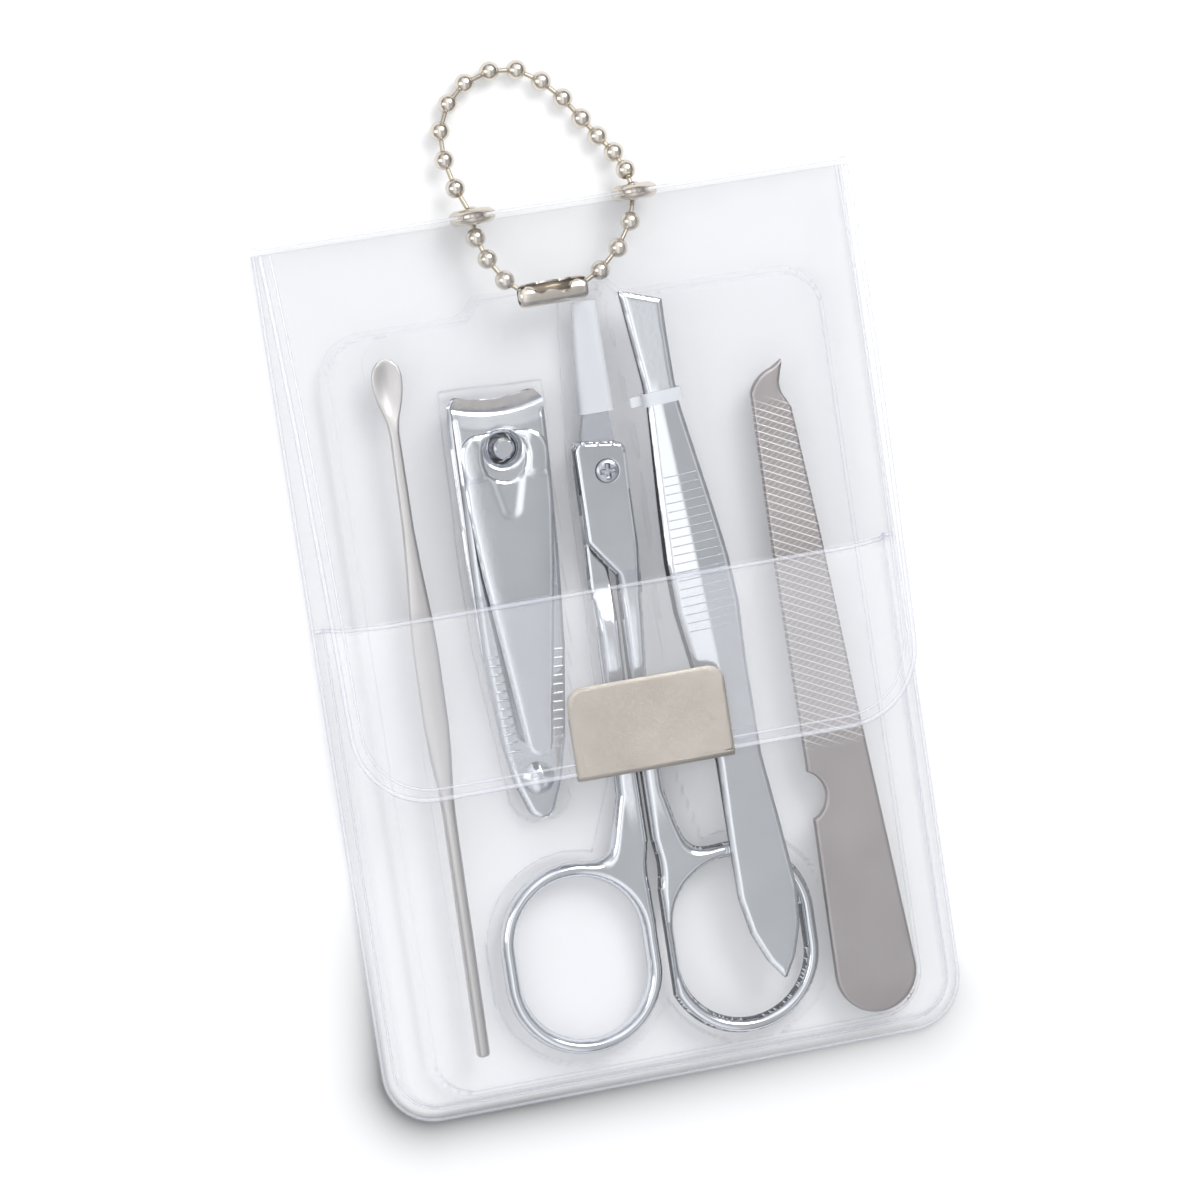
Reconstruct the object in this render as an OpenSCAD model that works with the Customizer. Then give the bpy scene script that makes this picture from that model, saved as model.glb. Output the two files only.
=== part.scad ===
// Clear vinyl pocket case holding a five-piece manicure set in a moulded tray.
// The case lies on its back: X runs across it, Y runs up to the fold, Z comes out of its front.
// The origin is the middle of the back face. Places named "_y" are measured from the bottom weld.

/* [Case] */
// Distance from the tray to the case's side edges
side_room = 5.95; // [5.5:0.05:8]
// Distance from the case's bottom edge to the tray
foot_room = 3.1; // [3:0.1:4]
// Distance from the tray to the fold
head_room = 12.6; // [12.2:0.1:16]
// Thickness of the vinyl film
film = 0.35; // [0.25:0.05:0.4]
// Radius of the two bottom corners
corner_r = 6.5; // [4:0.5:8]
// Width of the welded band along the sides and the bottom
weld_w = 1.7; // [1.2:0.1:2]
// How far the front sheet's side walls lean in before they reach full height
lean = 6.5; // [5.5:0.5:7]
// How far the front sheet leans in beside the tray, below its shoulder
shoulder = 0.5; // [0.3:0.1:0.6]
// Height of the pocket mouth above the bottom weld
mouth_y = 62; // [56:1:66]
// Clearance between the highest tool and the front sheet
front_gap = 0.3; // [0.2:0.05:1]
// Height of the flat fold that carries the eyelets
spine_h = 7.2; // [7:0.1:7.6]
// Outer radius of the two bends of the fold
bend_r = 1; // [0.8:0.1:1.1]

/* [Flap] */
// How far the fold and the flap stand in from each side edge of the case
flap_inset = 0.25; // [0.1:0.05:1]
// How far each side of the flap runs in towards its lower edge
flap_taper = 1.25; // [1:0.05:3]
// Radius of the flap's lower corners
flap_r = 9.5; // [5:0.5:12]
// Height of the flap's lower edge above the bottom weld
flap_y = 40; // [37:1:44]

/* [Clasp] */
// Width of the metal clasp
clasp_w = 19.5; // [15:0.5:22]
// Height of the clasp plate
clasp_h = 10.7; // [8:0.1:12]
// Thickness of the clasp sheet
clasp_t = 0.4; // [0.3:0.05:0.5]
// Radius of the plate's upper corners
clasp_r = 2; // [1:0.5:3]
// Height of the clasp's hidden rear leg
clasp_leg = 7; // [4:0.5:8]
// Place of the clasp across the case
clasp_x = 1.1; // [-3:0.1:3]
// Clearance between the clasp and the film it grips
clasp_gap = 0.05; // [0.03:0.01:0.1]

/* [Eyelets] */
// Distance between the two eyelets
eyelet_span = 20; // [20:0.1:20.2]
// Radius of the eyelet's hole
eyelet_bore_r = 1.4; // [1.35:0.05:1.45]
// Thickness of the eyelet's barrel wall
eyelet_wall = 0.4; // [0.3:0.05:0.45]
// Radius of the eyelet's flange and of its washer
flange_r = 2.8; // [2.5:0.05:2.85]
// Thickness of the flange
flange_t = 0.55; // [0.4:0.05:0.6]
// Thickness of the washer inside the fold
washer_t = 0.3; // [0.2:0.05:0.4]

/* [Bead chain] */
// Radius of one bead
bead_r = 1.2; // [1.1:0.02:1.2]
// Radius of a link's rod
pin_r = 0.25; // [0.2:0.01:0.26]
// Length of the connector tube
connector_l = 8.3; // [8:0.1:9]
// Thickness of the connector's wall
connector_wall = 0.2; // [0.15:0.01:0.22]

/* [Tray] */
// Width of the moulded tray
tray_w = 61.6; // [61:0.1:62]
// Height of the tray without its tab
tray_h = 92.8; // [92.6:0.1:93.2]
// Thickness of the tray's wall
tray_wall = 0.4; // [0.3:0.05:0.45]
// Depth of the tray from its flat back to its face
tray_d = 3.4; // [3.2:0.05:3.45]
// Width of the lip round the tray's foot
tray_lip = 0.7; // [0.4:0.1:0.8]
// Radius of the tray's corners
tray_r = 5; // [3:0.5:6]
// Clearance under the tray and under each tool
seat_gap = 0.12; // [0.08:0.01:0.15]

/* [Ear pick] */
// Length of the ear pick
pick_l = 85.5; // [84:0.5:86]
// Radius of its round rod
pick_r = 0.82; // [0.7:0.02:0.84]
// Widest width of its flat grip
pick_w = 3.1; // [2.4:0.1:3.2]
// Thickness of its flat grip
pick_t = 1.1; // [0.9:0.05:1.3]

/* [Nail clipper] */
// Length of the nail clipper
clip_l = 52; // [51.5:0.1:52.2]
// Width of the clipper at its jaws
clip_w = 11.2; // [10.4:0.1:11.3]
// Thickness of each leaf
leaf_t = 1; // [0.8:0.05:1]
// Height of the clipper at its jaws, without the lever
clip_h = 5.6; // [5.5:0.05:6]
// Thickness of the lever
lever_t = 0.9; // [0.7:0.05:1]
// Length of the lever
lever_l = 39.3; // [38:0.1:40]
// Width of the lever at its hole
lever_w = 10.7; // [9.6:0.1:11]
// Radius of the hole in the lever
lever_hole_r = 2.65; // [2.6:0.01:2.7]
// Radius of the post
post_r = 1.3; // [1.25:0.01:1.32]
// Running clearance round the post and the scissors' screw
run_gap = 0.06; // [0.04:0.01:0.08]

/* [Scissors] */
// Thickness of each handle at the pivot
handle_t = 1.2; // [1:0.05:1.25]
// Thickness of each blade
blade_t = 0.7; // [0.6:0.05:0.75]
// Width of the bar that makes the finger rings
ring_bar = 1.9; // [1.6:0.1:2]
// Thickness of the finger rings
ring_t = 2.6; // [2.3:0.1:2.7]
// Inner radius of the finger rings
ring_in_r = 7.9; // [7.5:0.1:8]
// Straight length added to each finger ring
ring_long = 4.2; // [3.5:0.1:4.6]
// Radius of the pivot screw's shank
screw_r = 0.9; // [0.8:0.02:0.95]
// Radius of the pivot screw's head
screw_head_r = 1.4; // [1.3:0.05:1.5]

/* [Tweezers] */
// Length of the tweezers
tweezer_l = 86.6; // [85:0.1:87]
// Thickness of each arm
arm_t = 0.9; // [0.8:0.02:0.92]
// How far each arm bows away from the middle plane
arm_bow = 1.2; // [1:0.05:1.25]
// Gap between the two tips, held by the band
tip_gap = 0.4; // [0.36:0.02:0.44]

/* [Nail file] */
// Length of the nail file
file_l = 81.5; // [80.5:0.1:82]
// Width of the file at its round end
file_w = 10.2; // [9.6:0.1:10.3]
// Thickness of the file
file_t = 1; // [0.8:0.05:1.2]

/* [Hidden] */
$fn = 48;

// Case and flap, drawn round the tray
tray_y = foot_room;
case_w = tray_w + 2 * side_room;
case_h = tray_y + tray_h + head_room;
flap_w = case_w - 2 * flap_inset;
flap_end_w = flap_w - 2 * flap_taper;

// Levels above the table, from the back sheet to the clasp
tray_z = film + seat_gap;
floor_z = tray_z + tray_wall;
tool_z = floor_z + seat_gap;
tray_top = tray_z + tray_d;
shoulder_z = tray_top + 0.4;
lever_z = tool_z + clip_h + 0.2;
post_top = lever_z + lever_t + 0.05;
pocket_z = post_top + front_gap;
flap_z = pocket_z + film + clasp_t + 2 * clasp_gap;
plate_z = flap_z + film + clasp_gap;
fold_y = case_h - bend_r;

// Chain: bead centres in the order they are strung, with heights for a loop that lies on the table
link_gap = 0.02;
eyelet_y = case_h - 0.25;
eyelet_z = spine_h / 2;
eye_left = [-eyelet_span / 2, eyelet_y, eyelet_z];
eye_right = [eyelet_span / 2, eyelet_y, eyelet_z];
table_z = bead_r + 0.05;
loop_offsets = [
    [-11.4, 3.6, 2.9], [-12.1, 7.1, 2.2], [-12, 10.6, 1.65], [-10.5, 13.7, 1.35], [-8.1, 15.8, table_z],
    [-4.9, 16.8, 1.3], [-1.6, 16.5, table_z], [1.2, 14.7, 1.3], [3.5, 12.3, 1.3],
    [5.4, 9.6, 1.3], [7, 7.2, 1.45], [8.6, 5, 1.9], [9.5, 2.7, 3]
];
loop_beads = [for (p = loop_offsets) [p[0], eyelet_y + p[1], p[2]]];
strung_loop = concat([eye_left], loop_beads, [eye_right]);
left_run = [for (p = [[-10.1, -2.6, 4.2], [-9.2, -5.3, 4.9], [-7.6, -8.1, 5.5]]) [p[0], eyelet_y + p[1], p[2]]];
right_run = [for (p = [[8.9, -3.5, 4.1], [6.8, -6.4, 4.8], [4.1, -8.7, 5.45]]) [p[0], eyelet_y + p[1], p[2]]];
connector_z = 5.75;
end_left = [-5.15, eyelet_y - 10.35, connector_z];
end_right = [0.95, eyelet_y - 10.3, connector_z];
strung_left = concat([eye_left], left_run, [end_left]);
strung_right = concat([eye_right], right_run, [end_right]);
connector_r = bead_r + 0.05;

// Tray outline and the tool places inside it
tray_x = 0.4;
tab_x = -2.9;
tab_w = 19;
tab_h = 2.2;
pick_x = -24.4;
pick_y = 7.5;
pick_tilt = -0.75;
pick_z = tray_top - 1.1 + seat_gap + pick_r;
clip_x = -12.5;
clip_y = 34.9;
clip_tilt = -1.75;
rivet_u = 5;
post_u = 45.5;
lever_top_u = 47.5;
pivot = [1.4, 75.5];
stack_z = tool_z + 2 * handle_t + 2 * blade_t + run_gap;
left_ring = [-10.45, 17.1];
right_ring = [9.2, 16.2];
rear_ring_z = tool_z + 0.3;
front_ring_z = tool_z + 0.7;
tweezer_x = 13.7;
tweezer_y = 10.5;
tweezer_tilt = 3.6;
tweezer_z = front_ring_z + ring_t + 0.25 + arm_t;
band_u = 73;
file_x = 25.5;
file_y = tray_y + 0.8;
file_z = tray_top - 0.8 + seat_gap;
play = 2;

// ---- shared shapes ----

// Everything is drawn from the bottom weld and then centred on the back face
module centred() {
    translate([0, -case_h / 2, 0]) children();
}

// A flat profile drawn in Y and Z, drawn out along X
module along_x(length) {
    rotate([90, 0, 90]) translate([0, 0, -length / 2]) linear_extrude(length) children();
}

// Rectangle with round corners, from its middle
module round_rect(w, h, r) {
    square([w - 2 * r, h], center = true);
    square([w, h - 2 * r], center = true);
    for (sx = [-1, 1], sy = [-1, 1]) {
        translate([sx * (w / 2 - r), sy * (h / 2 - r)]) circle(r);
    }
}

// Slot with round ends
module taper(a, ra, b, rb) {
    d = b - a;
    n = [-d[1], d[0]] / norm(d);
    polygon([a + n * ra, b + n * rb, b - n * rb, a - n * ra]);
    translate(a) circle(ra);
    translate(b) circle(rb);
}

// Points of an arc
function arc(c, r, a0, a1, steps = 8) =
    [for (i = [0:steps]) c + r * [cos(a0 + (a1 - a0) * i / steps), sin(a0 + (a1 - a0) * i / steps)]];

// A rod between two points in space
module rod(a, b, r) {
    d = b - a;
    translate(a) rotate([0, acos(d[2] / norm(d)), atan2(d[1], d[0])]) cylinder(h = norm(d), r = r);
}

// ---- vinyl case ----

// Outline of the case below the fold, drawn in by a margin
module case_outline(margin, top) {
    half = case_w / 2 - margin;
    r = corner_r - margin * 0.6;
    polygon(concat(
        arc([-half + r, margin + r], r, 180, 270),
        arc([half - r, margin + r], r, 270, 360),
        [[half, top], [-half, top]]
    ));
}

module back_sheet() {
    color([0.86, 0.88, 0.93, 0.4]) centred() linear_extrude(film) case_outline(0, fold_y);
}

// Outline of the fold: two bends and the flat between them
module spine_profile() {
    difference() {
        translate([case_h - spine_h, spine_h / 2]) round_rect(2 * spine_h, spine_h, bend_r);
        translate([case_h - spine_h, spine_h / 2])
            round_rect(2 * (spine_h - film), spine_h - 2 * film, bend_r - film);
        translate([fold_y - 4 * spine_h, -1]) square([4 * spine_h, spine_h + 2]);
    }
}

module fold_spine() {
    color([0.86, 0.88, 0.93, 0.4]) centred() difference() {
        along_x(flap_w) spine_profile();
        for (eye = [eye_left, eye_right]) {
            rod(eye - [0, 3, 0], eye + [0, 3, 0], eyelet_bore_r + eyelet_wall + 0.02);
        }
    }
}

// Height of the flap's inner face: it climbs from the fold and lies flat over the pocket
function flap_level(y) =
    y < mouth_y + 4 ? flap_z
    : flap_z - (flap_z - spine_h + film) * pow((y - mouth_y - 4) / (fold_y - mouth_y - 4), 3);

module flap_outline() {
    half = flap_end_w / 2;
    polygon(concat(
        arc([-half + flap_r, flap_y + flap_r], flap_r, 180, 270),
        arc([half - flap_r, flap_y + flap_r], flap_r, 270, 360),
        [[half + 0.2, mouth_y], [flap_w / 2, fold_y], [-flap_w / 2, fold_y], [-half - 0.2, mouth_y]]
    ));
}

module flap() {
    steps = 12;
    reach = [for (i = [0:steps]) mouth_y + 4 + (fold_y - mouth_y - 4) * i / steps];
    under = concat([[flap_y - 1, flap_z]], [for (y = reach) [y, flap_level(y)]]);
    over = [for (i = [len(under) - 1:-1:0]) under[i] + [0, film]];
    color([0.86, 0.88, 0.93, 0.4]) centred() intersection() {
        along_x(case_w + 2) polygon(concat(under, over));
        linear_extrude(4 * spine_h) flap_outline();
    }
}

// Solid form of the front sheet: steep beside the tray, then leaning in to a flat top
module pocket_form(margin, knee_z, top_z) {
    hull() {
        translate([0, 0, film]) linear_extrude(0.01) case_outline(margin, case_h, $fn = 24);
        translate([0, 0, knee_z]) linear_extrude(0.01) case_outline(margin + shoulder, case_h, $fn = 24);
        translate([0, 0, top_z - 0.01]) linear_extrude(0.01) case_outline(margin + lean, case_h, $fn = 24);
    }
}

module front_pocket() {
    color([0.86, 0.88, 0.93, 0.4]) centred() intersection() {
        union() {
            difference() {
                pocket_form(weld_w, shoulder_z + film, pocket_z + film);
                pocket_form(weld_w + film, shoulder_z, pocket_z);
            }
            translate([0, 0, film]) linear_extrude(film) difference() {
                case_outline(0, case_h);
                case_outline(weld_w + film * 0.8, case_h + 1);
            }
        }
        translate([-case_w, -1, 0]) cube([2 * case_w, mouth_y + 1, 4 * spine_h]);
    }
}

// ---- moulded tray ----

module tray_outline(grow) {
    translate([tray_x, tray_y + tray_h / 2]) round_rect(tray_w + 2 * grow, tray_h + 2 * grow, tray_r + grow);
    translate([tab_x, tray_y + tray_h]) polygon([
        [-tab_w / 2 - grow, -tray_wall], [-tab_w / 2 + 2 - grow, tab_h + grow],
        [tab_w / 2 - 2 + grow, tab_h + grow], [tab_w / 2 + grow, -tray_wall]
    ]);
}

// Outline round a row of stations [x, y, half width], with round ends
function strip(row, grow) = let(last = len(row) - 1) concat(
    arc([row[0][0], row[0][1]], row[0][2] + grow, 180, 360, 12),
    [for (i = [1:last - 1]) [row[i][0] + row[i][2] + grow, row[i][1]]],
    arc([row[last][0], row[last][1]], row[last][2] + grow, 0, 180, 12),
    [for (i = [last - 1:-1:1]) [row[i][0] - row[i][2] - grow, row[i][1]]]
);

module ring_recess(c, room) {
    taper(c - [0, ring_long / 2], room, c + [0, ring_long / 2], room);
}

// Recesses that reach the tray's floor: the clipper's and the scissors'
module deep_recess(grow) {
    half = clip_w / 2 + 0.5 + grow;
    at_clipper_flat() polygon(concat(
        arc([0, 3.4], 3.6 + grow, 180, 360, 12),
        [[half - 0.4, 21], [half, 32], [half, clip_l + 0.6 + grow]],
        [[-half, clip_l + 0.6 + grow], [-half, 32], [0.4 - half, 21]]
    ));
    polygon(strip([
        [-0.6, 26, 7.6], [0.3, 38, 3.9], [pivot[0], pivot[1], 4.2], [1.7, tray_y + tray_h - 0.7, 2.7]
    ], grow));
    ring_recess(left_ring - [0.2, 0], ring_in_r + ring_bar + 1 + grow);
    ring_recess(right_ring + [0.5, 0], ring_in_r + ring_bar + 0.9 + grow);
}

module pick_recess(grow) {
    translate([pick_x, pick_y]) rotate(pick_tilt)
        polygon(strip([[0, 1, 1.4], [0, pick_l - 6, 2], [0, pick_l - 2.5 + play, 2.4]], grow));
}

module tweezer_recess(grow) {
    translate([tweezer_x, tweezer_y]) rotate(tweezer_tilt) polygon(strip([
        [0, 2.5, 2.2], [0, 11, 4.2], [0, 28, 3.3], [0, 48, 4.4], [0, 68, 3.1], [0, tweezer_l - 3.2, 3.4]
    ], grow));
}

module file_recess(grow) {
    translate([file_x, file_y]) polygon(strip([
        [0, file_w / 2 + 0.1, file_w / 2 + 0.4], [-1, 33, 4.5], [-2.4, 74, 3.3],
        [-2.6, file_l - 3.2 + play, 3.4]
    ], grow));
}

// A cup of the tray's own wall, hanging from its face down to a floor
module recess_wall(floor_level) {
    translate([0, 0, floor_level - tray_wall]) linear_extrude(tray_top - floor_level + tray_wall) children();
}

module recess_room(floor_level) {
    translate([0, 0, floor_level]) linear_extrude(spine_h) children();
}

module tray() {
    pick_floor = pick_z - pick_r - seat_gap;
    tweezer_floor = min(tray_top - 0.3, tweezer_z - arm_t - arm_bow - 0.25);
    file_floor = file_z - seat_gap;
    color([0.9, 0.92, 0.95, 0.35]) centred() difference() {
        union() {
            translate([0, 0, tray_z]) linear_extrude(tray_wall) difference() {
                tray_outline(tray_lip);
                tray_outline(-tray_wall);
            }
            difference() {
                translate([0, 0, tray_z]) linear_extrude(tray_d) tray_outline(0);
                translate([0, 0, tray_z - 1]) linear_extrude(tray_d - tray_wall + 1) tray_outline(-tray_wall);
            }
            intersection() {
                union() {
                    recess_wall(floor_z) deep_recess(tray_wall);
                    recess_wall(pick_floor) pick_recess(tray_wall);
                    recess_wall(tweezer_floor) tweezer_recess(tray_wall);
                    recess_wall(file_floor) file_recess(tray_wall);
                }
                translate([0, 0, tray_z]) linear_extrude(tray_d) tray_outline(0);
            }
        }
        intersection() {
            union() {
                recess_room(floor_z) deep_recess(0);
                recess_room(pick_floor) pick_recess(0);
                recess_room(tweezer_floor) tweezer_recess(0);
                recess_room(file_floor) file_recess(0);
            }
            translate([0, 0, floor_z]) linear_extrude(spine_h) tray_outline(-tray_wall);
        }
    }
}

// ---- clasp, eyelets and bead chain ----

module clasp_face(height) {
    translate([0, height / 2]) difference() {
        round_rect(clasp_w, height, clasp_r);
        translate([0, -height]) square([clasp_w + 1, height], center = true);
    }
    translate([-clasp_w / 2, 0]) square([clasp_w, clasp_r]);
}

module clasp() {
    turn_r = (plate_z + clasp_t - flap_z + clasp_gap + clasp_t) / 2;
    color([0.75, 0.72, 0.68]) centred() translate([clasp_x, flap_y - clasp_gap, 0]) {
        translate([0, 0, plate_z]) linear_extrude(clasp_t) clasp_face(clasp_h);
        translate([0, 0, flap_z - clasp_gap - clasp_t]) linear_extrude(clasp_t) clasp_face(clasp_leg);
        along_x(clasp_w) translate([0, plate_z + clasp_t - turn_r]) intersection() {
            difference() {
                circle(turn_r);
                circle(turn_r - clasp_t);
            }
            translate([-2 * turn_r, -turn_r]) square([2 * turn_r, 2 * turn_r]);
        }
    }
}

module eyelet() {
    barrel_r = eyelet_bore_r + eyelet_wall;
    roll_y = film + washer_t + 0.04;
    rotate([-90, 0, 0]) rotate_extrude() polygon([
        [eyelet_bore_r, -roll_y - 0.35], [barrel_r + 0.25, -roll_y - 0.35], [barrel_r + 0.45, -roll_y],
        [barrel_r, -roll_y], [barrel_r, 0], [flange_r, 0], [flange_r, flange_t * 0.4],
        [flange_r - 0.5, flange_t * 0.9], [barrel_r + 0.2, flange_t], [eyelet_bore_r + 0.15, flange_t * 0.8],
        [eyelet_bore_r, flange_t * 0.4]
    ]);
}

module eyelets() {
    color([0.72, 0.7, 0.66]) centred() for (x = [eye_left[0], eye_right[0]]) {
        translate([x, case_h, eyelet_z]) eyelet();
    }
}

module eyelet_washers() {
    color([0.72, 0.7, 0.66]) centred() for (x = [eye_left[0], eye_right[0]]) {
        translate([x, case_h - film - 0.02, eyelet_z]) rotate([90, 0, 0]) difference() {
            cylinder(h = washer_t, r = flange_r - 0.1);
            translate([0, 0, -1]) cylinder(h = washer_t + 2, r = eyelet_bore_r + eyelet_wall + 0.02);
        }
    }
}

// The stretch of link that shows between two beads
module link(a, b) {
    d = (b - a) / norm(b - a);
    rod(a + d * (bead_r + link_gap), b - d * (bead_r + link_gap), pin_r);
}

module links(strung) {
    color([0.6, 0.55, 0.5]) centred() for (i = [1:len(strung) - 1]) link(strung[i - 1], strung[i]);
}

module beads(strung) {
    color([0.72, 0.7, 0.66]) centred() for (p = strung) translate(p) sphere(bead_r);
}

module chain_loop_beads() {
    beads(strung_loop);
}

module chain_loop_pins() {
    links(strung_loop);
}

module chain_inner_beads() {
    beads(concat(left_run, [end_left], right_run, [end_right]));
}

module chain_inner_pins() {
    links(strung_left);
    links(strung_right);
}

// Slotted tube that snaps over the chain's two end beads
module chain_connector() {
    middle = (end_left + end_right) / 2;
    run = (end_right - end_left) / norm(end_right - end_left);
    a = middle - run * connector_l / 2;
    b = middle + run * connector_l / 2;
    color([0.7, 0.67, 0.62]) centred() difference() {
        rod(a, b, connector_r + connector_wall);
        rod(a - run, b + run, connector_r);
        translate([middle[0], middle[1] + connector_r, connector_z])
            cube([connector_l + 4, 2 * connector_r, 0.9], center = true);
    }
}

// ---- ear pick ----

module ear_pick() {
    neck_u = pick_l - 7.5;
    color([0.67, 0.65, 0.64]) centred() translate([pick_x, pick_y, pick_z]) rotate(pick_tilt) {
        rod([0, 0, 0], [0, 33, 0], pick_r);
        translate([0, 0, -pick_t / 2]) linear_extrude(pick_t) polygon([
            [-pick_r, 31], [-pick_w / 2, 40], [-pick_w / 2, 52], [-0.95, 60], [-0.7, 66],
            [0.7, 66], [0.95, 60], [pick_w / 2, 52], [pick_w / 2, 40], [pick_r, 31]
        ]);
        rod([0, 62, 0], [0, neck_u + 1, 0], 0.62);
        difference() {
            translate([0, 0, -pick_t / 2]) linear_extrude(pick_t)
                taper([0, neck_u + 1.2], 0.8, [0, pick_l - 1.9], 1.9);
            translate([0, pick_l - 2.2, 3.6]) sphere(3.6);
        }
    }
}

// ---- nail clipper ----

module at_clipper_flat() {
    translate([clip_x, clip_y]) rotate(clip_tilt) children();
}

module at_clipper() {
    centred() translate([0, 0, tool_z]) at_clipper_flat() children();
}

// Outline that both leaves share, with the hollow cutting edge
module leaf_outline() {
    half = clip_w / 2;
    difference() {
        polygon(concat(
            arc([0, 1.7], 1.7, 200, 340),
            [[2.9, 4.5], [3.9, 9.5], [half - 0.6, 21], [half - 0.2, 32], [half, clip_l - 4]],
            [[half, clip_l - 1], [half - 0.7, clip_l], [0.7 - half, clip_l], [-half, clip_l - 1]],
            [[-half, clip_l - 4], [0.2 - half, 32], [0.6 - half, 21], [-3.9, 9.5], [-2.9, 4.5]]
        ));
        translate([0, clip_l + 15.4]) circle(16);
    }
}

module leaf(profile) {
    intersection() {
        along_x(2 * clip_w) polygon(profile);
        linear_extrude(2 * clip_h) leaf_outline();
    }
}

module clipper_lower_leaf() {
    end = clip_l;
    color([0.8, 0.81, 0.83]) at_clipper() difference() {
        leaf([
            [0, 0], [end - 6, 0], [end - 2.5, 0.4], [end - 0.8, 1.2], [end, 2.1],
            [end - 1.2, 2.1], [end - 3, 1.3 * leaf_t], [end - 6, leaf_t], [0, leaf_t]
        ]);
        translate([0, post_u, -1]) cylinder(h = clip_h, r = post_r + run_gap);
        translate([0, post_u, -1]) cylinder(h = 1.45, r = post_r + 0.6);
        translate([0, rivet_u, -1]) cylinder(h = clip_h, r = 0.9 + run_gap);
    }
}

module clipper_upper_leaf() {
    end = clip_l;
    flat = clip_h - leaf_t;
    color([0.8, 0.81, 0.83]) at_clipper() difference() {
        leaf([
            [0, leaf_t], [rivet_u, leaf_t], [post_u - 4, flat], [end - 3.4, flat], [end - 1.4, flat - 0.4],
            [end - 0.9, flat - 0.9], [end, flat - 0.9], [end - 0.1, flat], [end - 1.2, clip_h - 0.4],
            [end - 3.4, clip_h], [post_u - 4, clip_h], [rivet_u + 2.4, 2 * leaf_t], [0, 2 * leaf_t]
        ]);
        translate([0, post_u, 0]) cylinder(h = 2 * clip_h, r = post_r + 0.45);
        translate([0, rivet_u, 0]) cylinder(h = clip_h, r = 0.9 + 0.1);
    }
}

// The lever is stowed flat on the upper leaf; the post stands at the head side of its hole
module clipper_lever() {
    tip_u = lever_top_u - lever_l;
    half = lever_w / 2;
    hole_u = post_u - (lever_hole_r - post_r - 0.15);
    color([0.82, 0.83, 0.85]) at_clipper() translate([0, 0, lever_z - tool_z]) difference() {
        linear_extrude(lever_t) polygon(concat(
            arc([0, tip_u + 1.6], 1.6, 190, 350),
            [[half - 1, lever_top_u - 17], [half - 0.2, lever_top_u - 9]],
            arc([half - 2.6, lever_top_u - 2.6], 2.6, 0, 80),
            arc([2.6 - half, lever_top_u - 2.6], 2.6, 100, 180),
            [[0.2 - half, lever_top_u - 9], [1 - half, lever_top_u - 17]]
        ));
        translate([0, hole_u, -1]) cylinder(h = lever_t + 2, r = lever_hole_r);
        translate([0, hole_u - 6, lever_t + 4.5]) sphere(5);
    }
}

module clipper_post() {
    top = post_top - tool_z;
    color([0.78, 0.78, 0.79]) at_clipper() translate([0, post_u, 0]) {
        translate([0, 0, 0.02]) cylinder(h = 0.36, r = post_r + 0.5);
        translate([0, 0, 0.02]) cylinder(h = top - 0.42, r = post_r);
        translate([0, 0, top - 0.4]) cylinder(h = 0.4, r1 = post_r, r2 = post_r - 0.35);
    }
}

module clipper_rivet() {
    head_r = 2;
    crown = 0.75;
    ball_r = (head_r * head_r + crown * crown) / (2 * crown);
    seat = 2 * leaf_t + 0.12;
    color([0.78, 0.78, 0.79]) at_clipper() translate([0, rivet_u, 0]) {
        cylinder(h = seat + 0.1, r = 0.9);
        translate([0, 0, seat]) intersection() {
            translate([0, 0, crown - ball_r]) sphere(ball_r);
            cylinder(h = crown + 1, r = head_r);
        }
    }
}

// ---- scissors ----

module finger_ring(c) {
    difference() {
        taper(c - [0, ring_long / 2], ring_in_r + ring_bar, c + [0, ring_long / 2], ring_in_r + ring_bar);
        taper(c - [0, ring_long / 2], ring_in_r, c + [0, ring_long / 2], ring_in_r);
    }
}

module screw_hole() {
    translate([pivot[0], pivot[1], 0]) cylinder(h = 4 * spine_h, r = screw_r + run_gap);
}

module scissor_rear_handle() {
    color([0.8, 0.81, 0.84]) centred() difference() {
        union() {
            translate([0, 0, tool_z]) linear_extrude(handle_t) polygon([
                [-2.1, 79.4], [4.2, 78.6], [4, 68.2], [0.5, 68.2], [0.3, 56], [-2.7, 56], [-2.3, 68]
            ]);
            translate([0, 0, rear_ring_z]) linear_extrude(ring_t) {
                polygon([
                    [-2.3, 66.5], [0.5, 62.3], [-0.1, 40], [-0.1, 30], [-1.3, 24], [-3.2, 20],
                    [-6, 28.4], [-4.4, 31.6], [-3.2, 36], [-2.7, 50]
                ]);
                finger_ring(left_ring);
            }
        }
        screw_hole();
    }
}

module scissor_front_handle() {
    color([0.82, 0.83, 0.86]) centred() difference() {
        union() {
            translate([0, 0, stack_z - handle_t]) linear_extrude(handle_t) polygon([
                [-2.2, 79.4], [4.1, 78.6], [3.8, 60], [0.7, 60], [0.7, 62.7], [-2.4, 67.1]
            ]);
            translate([0, 0, front_ring_z]) linear_extrude(stack_z - front_ring_z) polygon([
                [3.9, 67.9], [3.8, 60], [0.7, 60], [0.7, 67.9]
            ]);
            translate([0, 0, front_ring_z]) linear_extrude(ring_t) {
                polygon([
                    [3.8, 62], [2.7, 50], [2.6, 36], [3.6, 31.6], [5.4, 27.6], [2.4, 20],
                    [0.9, 24], [0.1, 30], [0.1, 40], [0.7, 62]
                ]);
                finger_ring(right_ring);
            }
        }
        screw_hole();
    }
}

// One blade: a tang under its handle, then a narrowing point
module blade() {
    linear_extrude(blade_t) polygon([
        [-1.2, 71], [3.4, 71], [3, 80], [2.8, 84], [2.2, 95.3], [1.8, 95.3], [0.1, 84], [-0.9, 80]
    ]);
}

module scissor_rear_blade() {
    color([0.74, 0.75, 0.78]) centred() difference() {
        translate([0, 0, tool_z + handle_t]) blade();
        screw_hole();
    }
}

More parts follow.
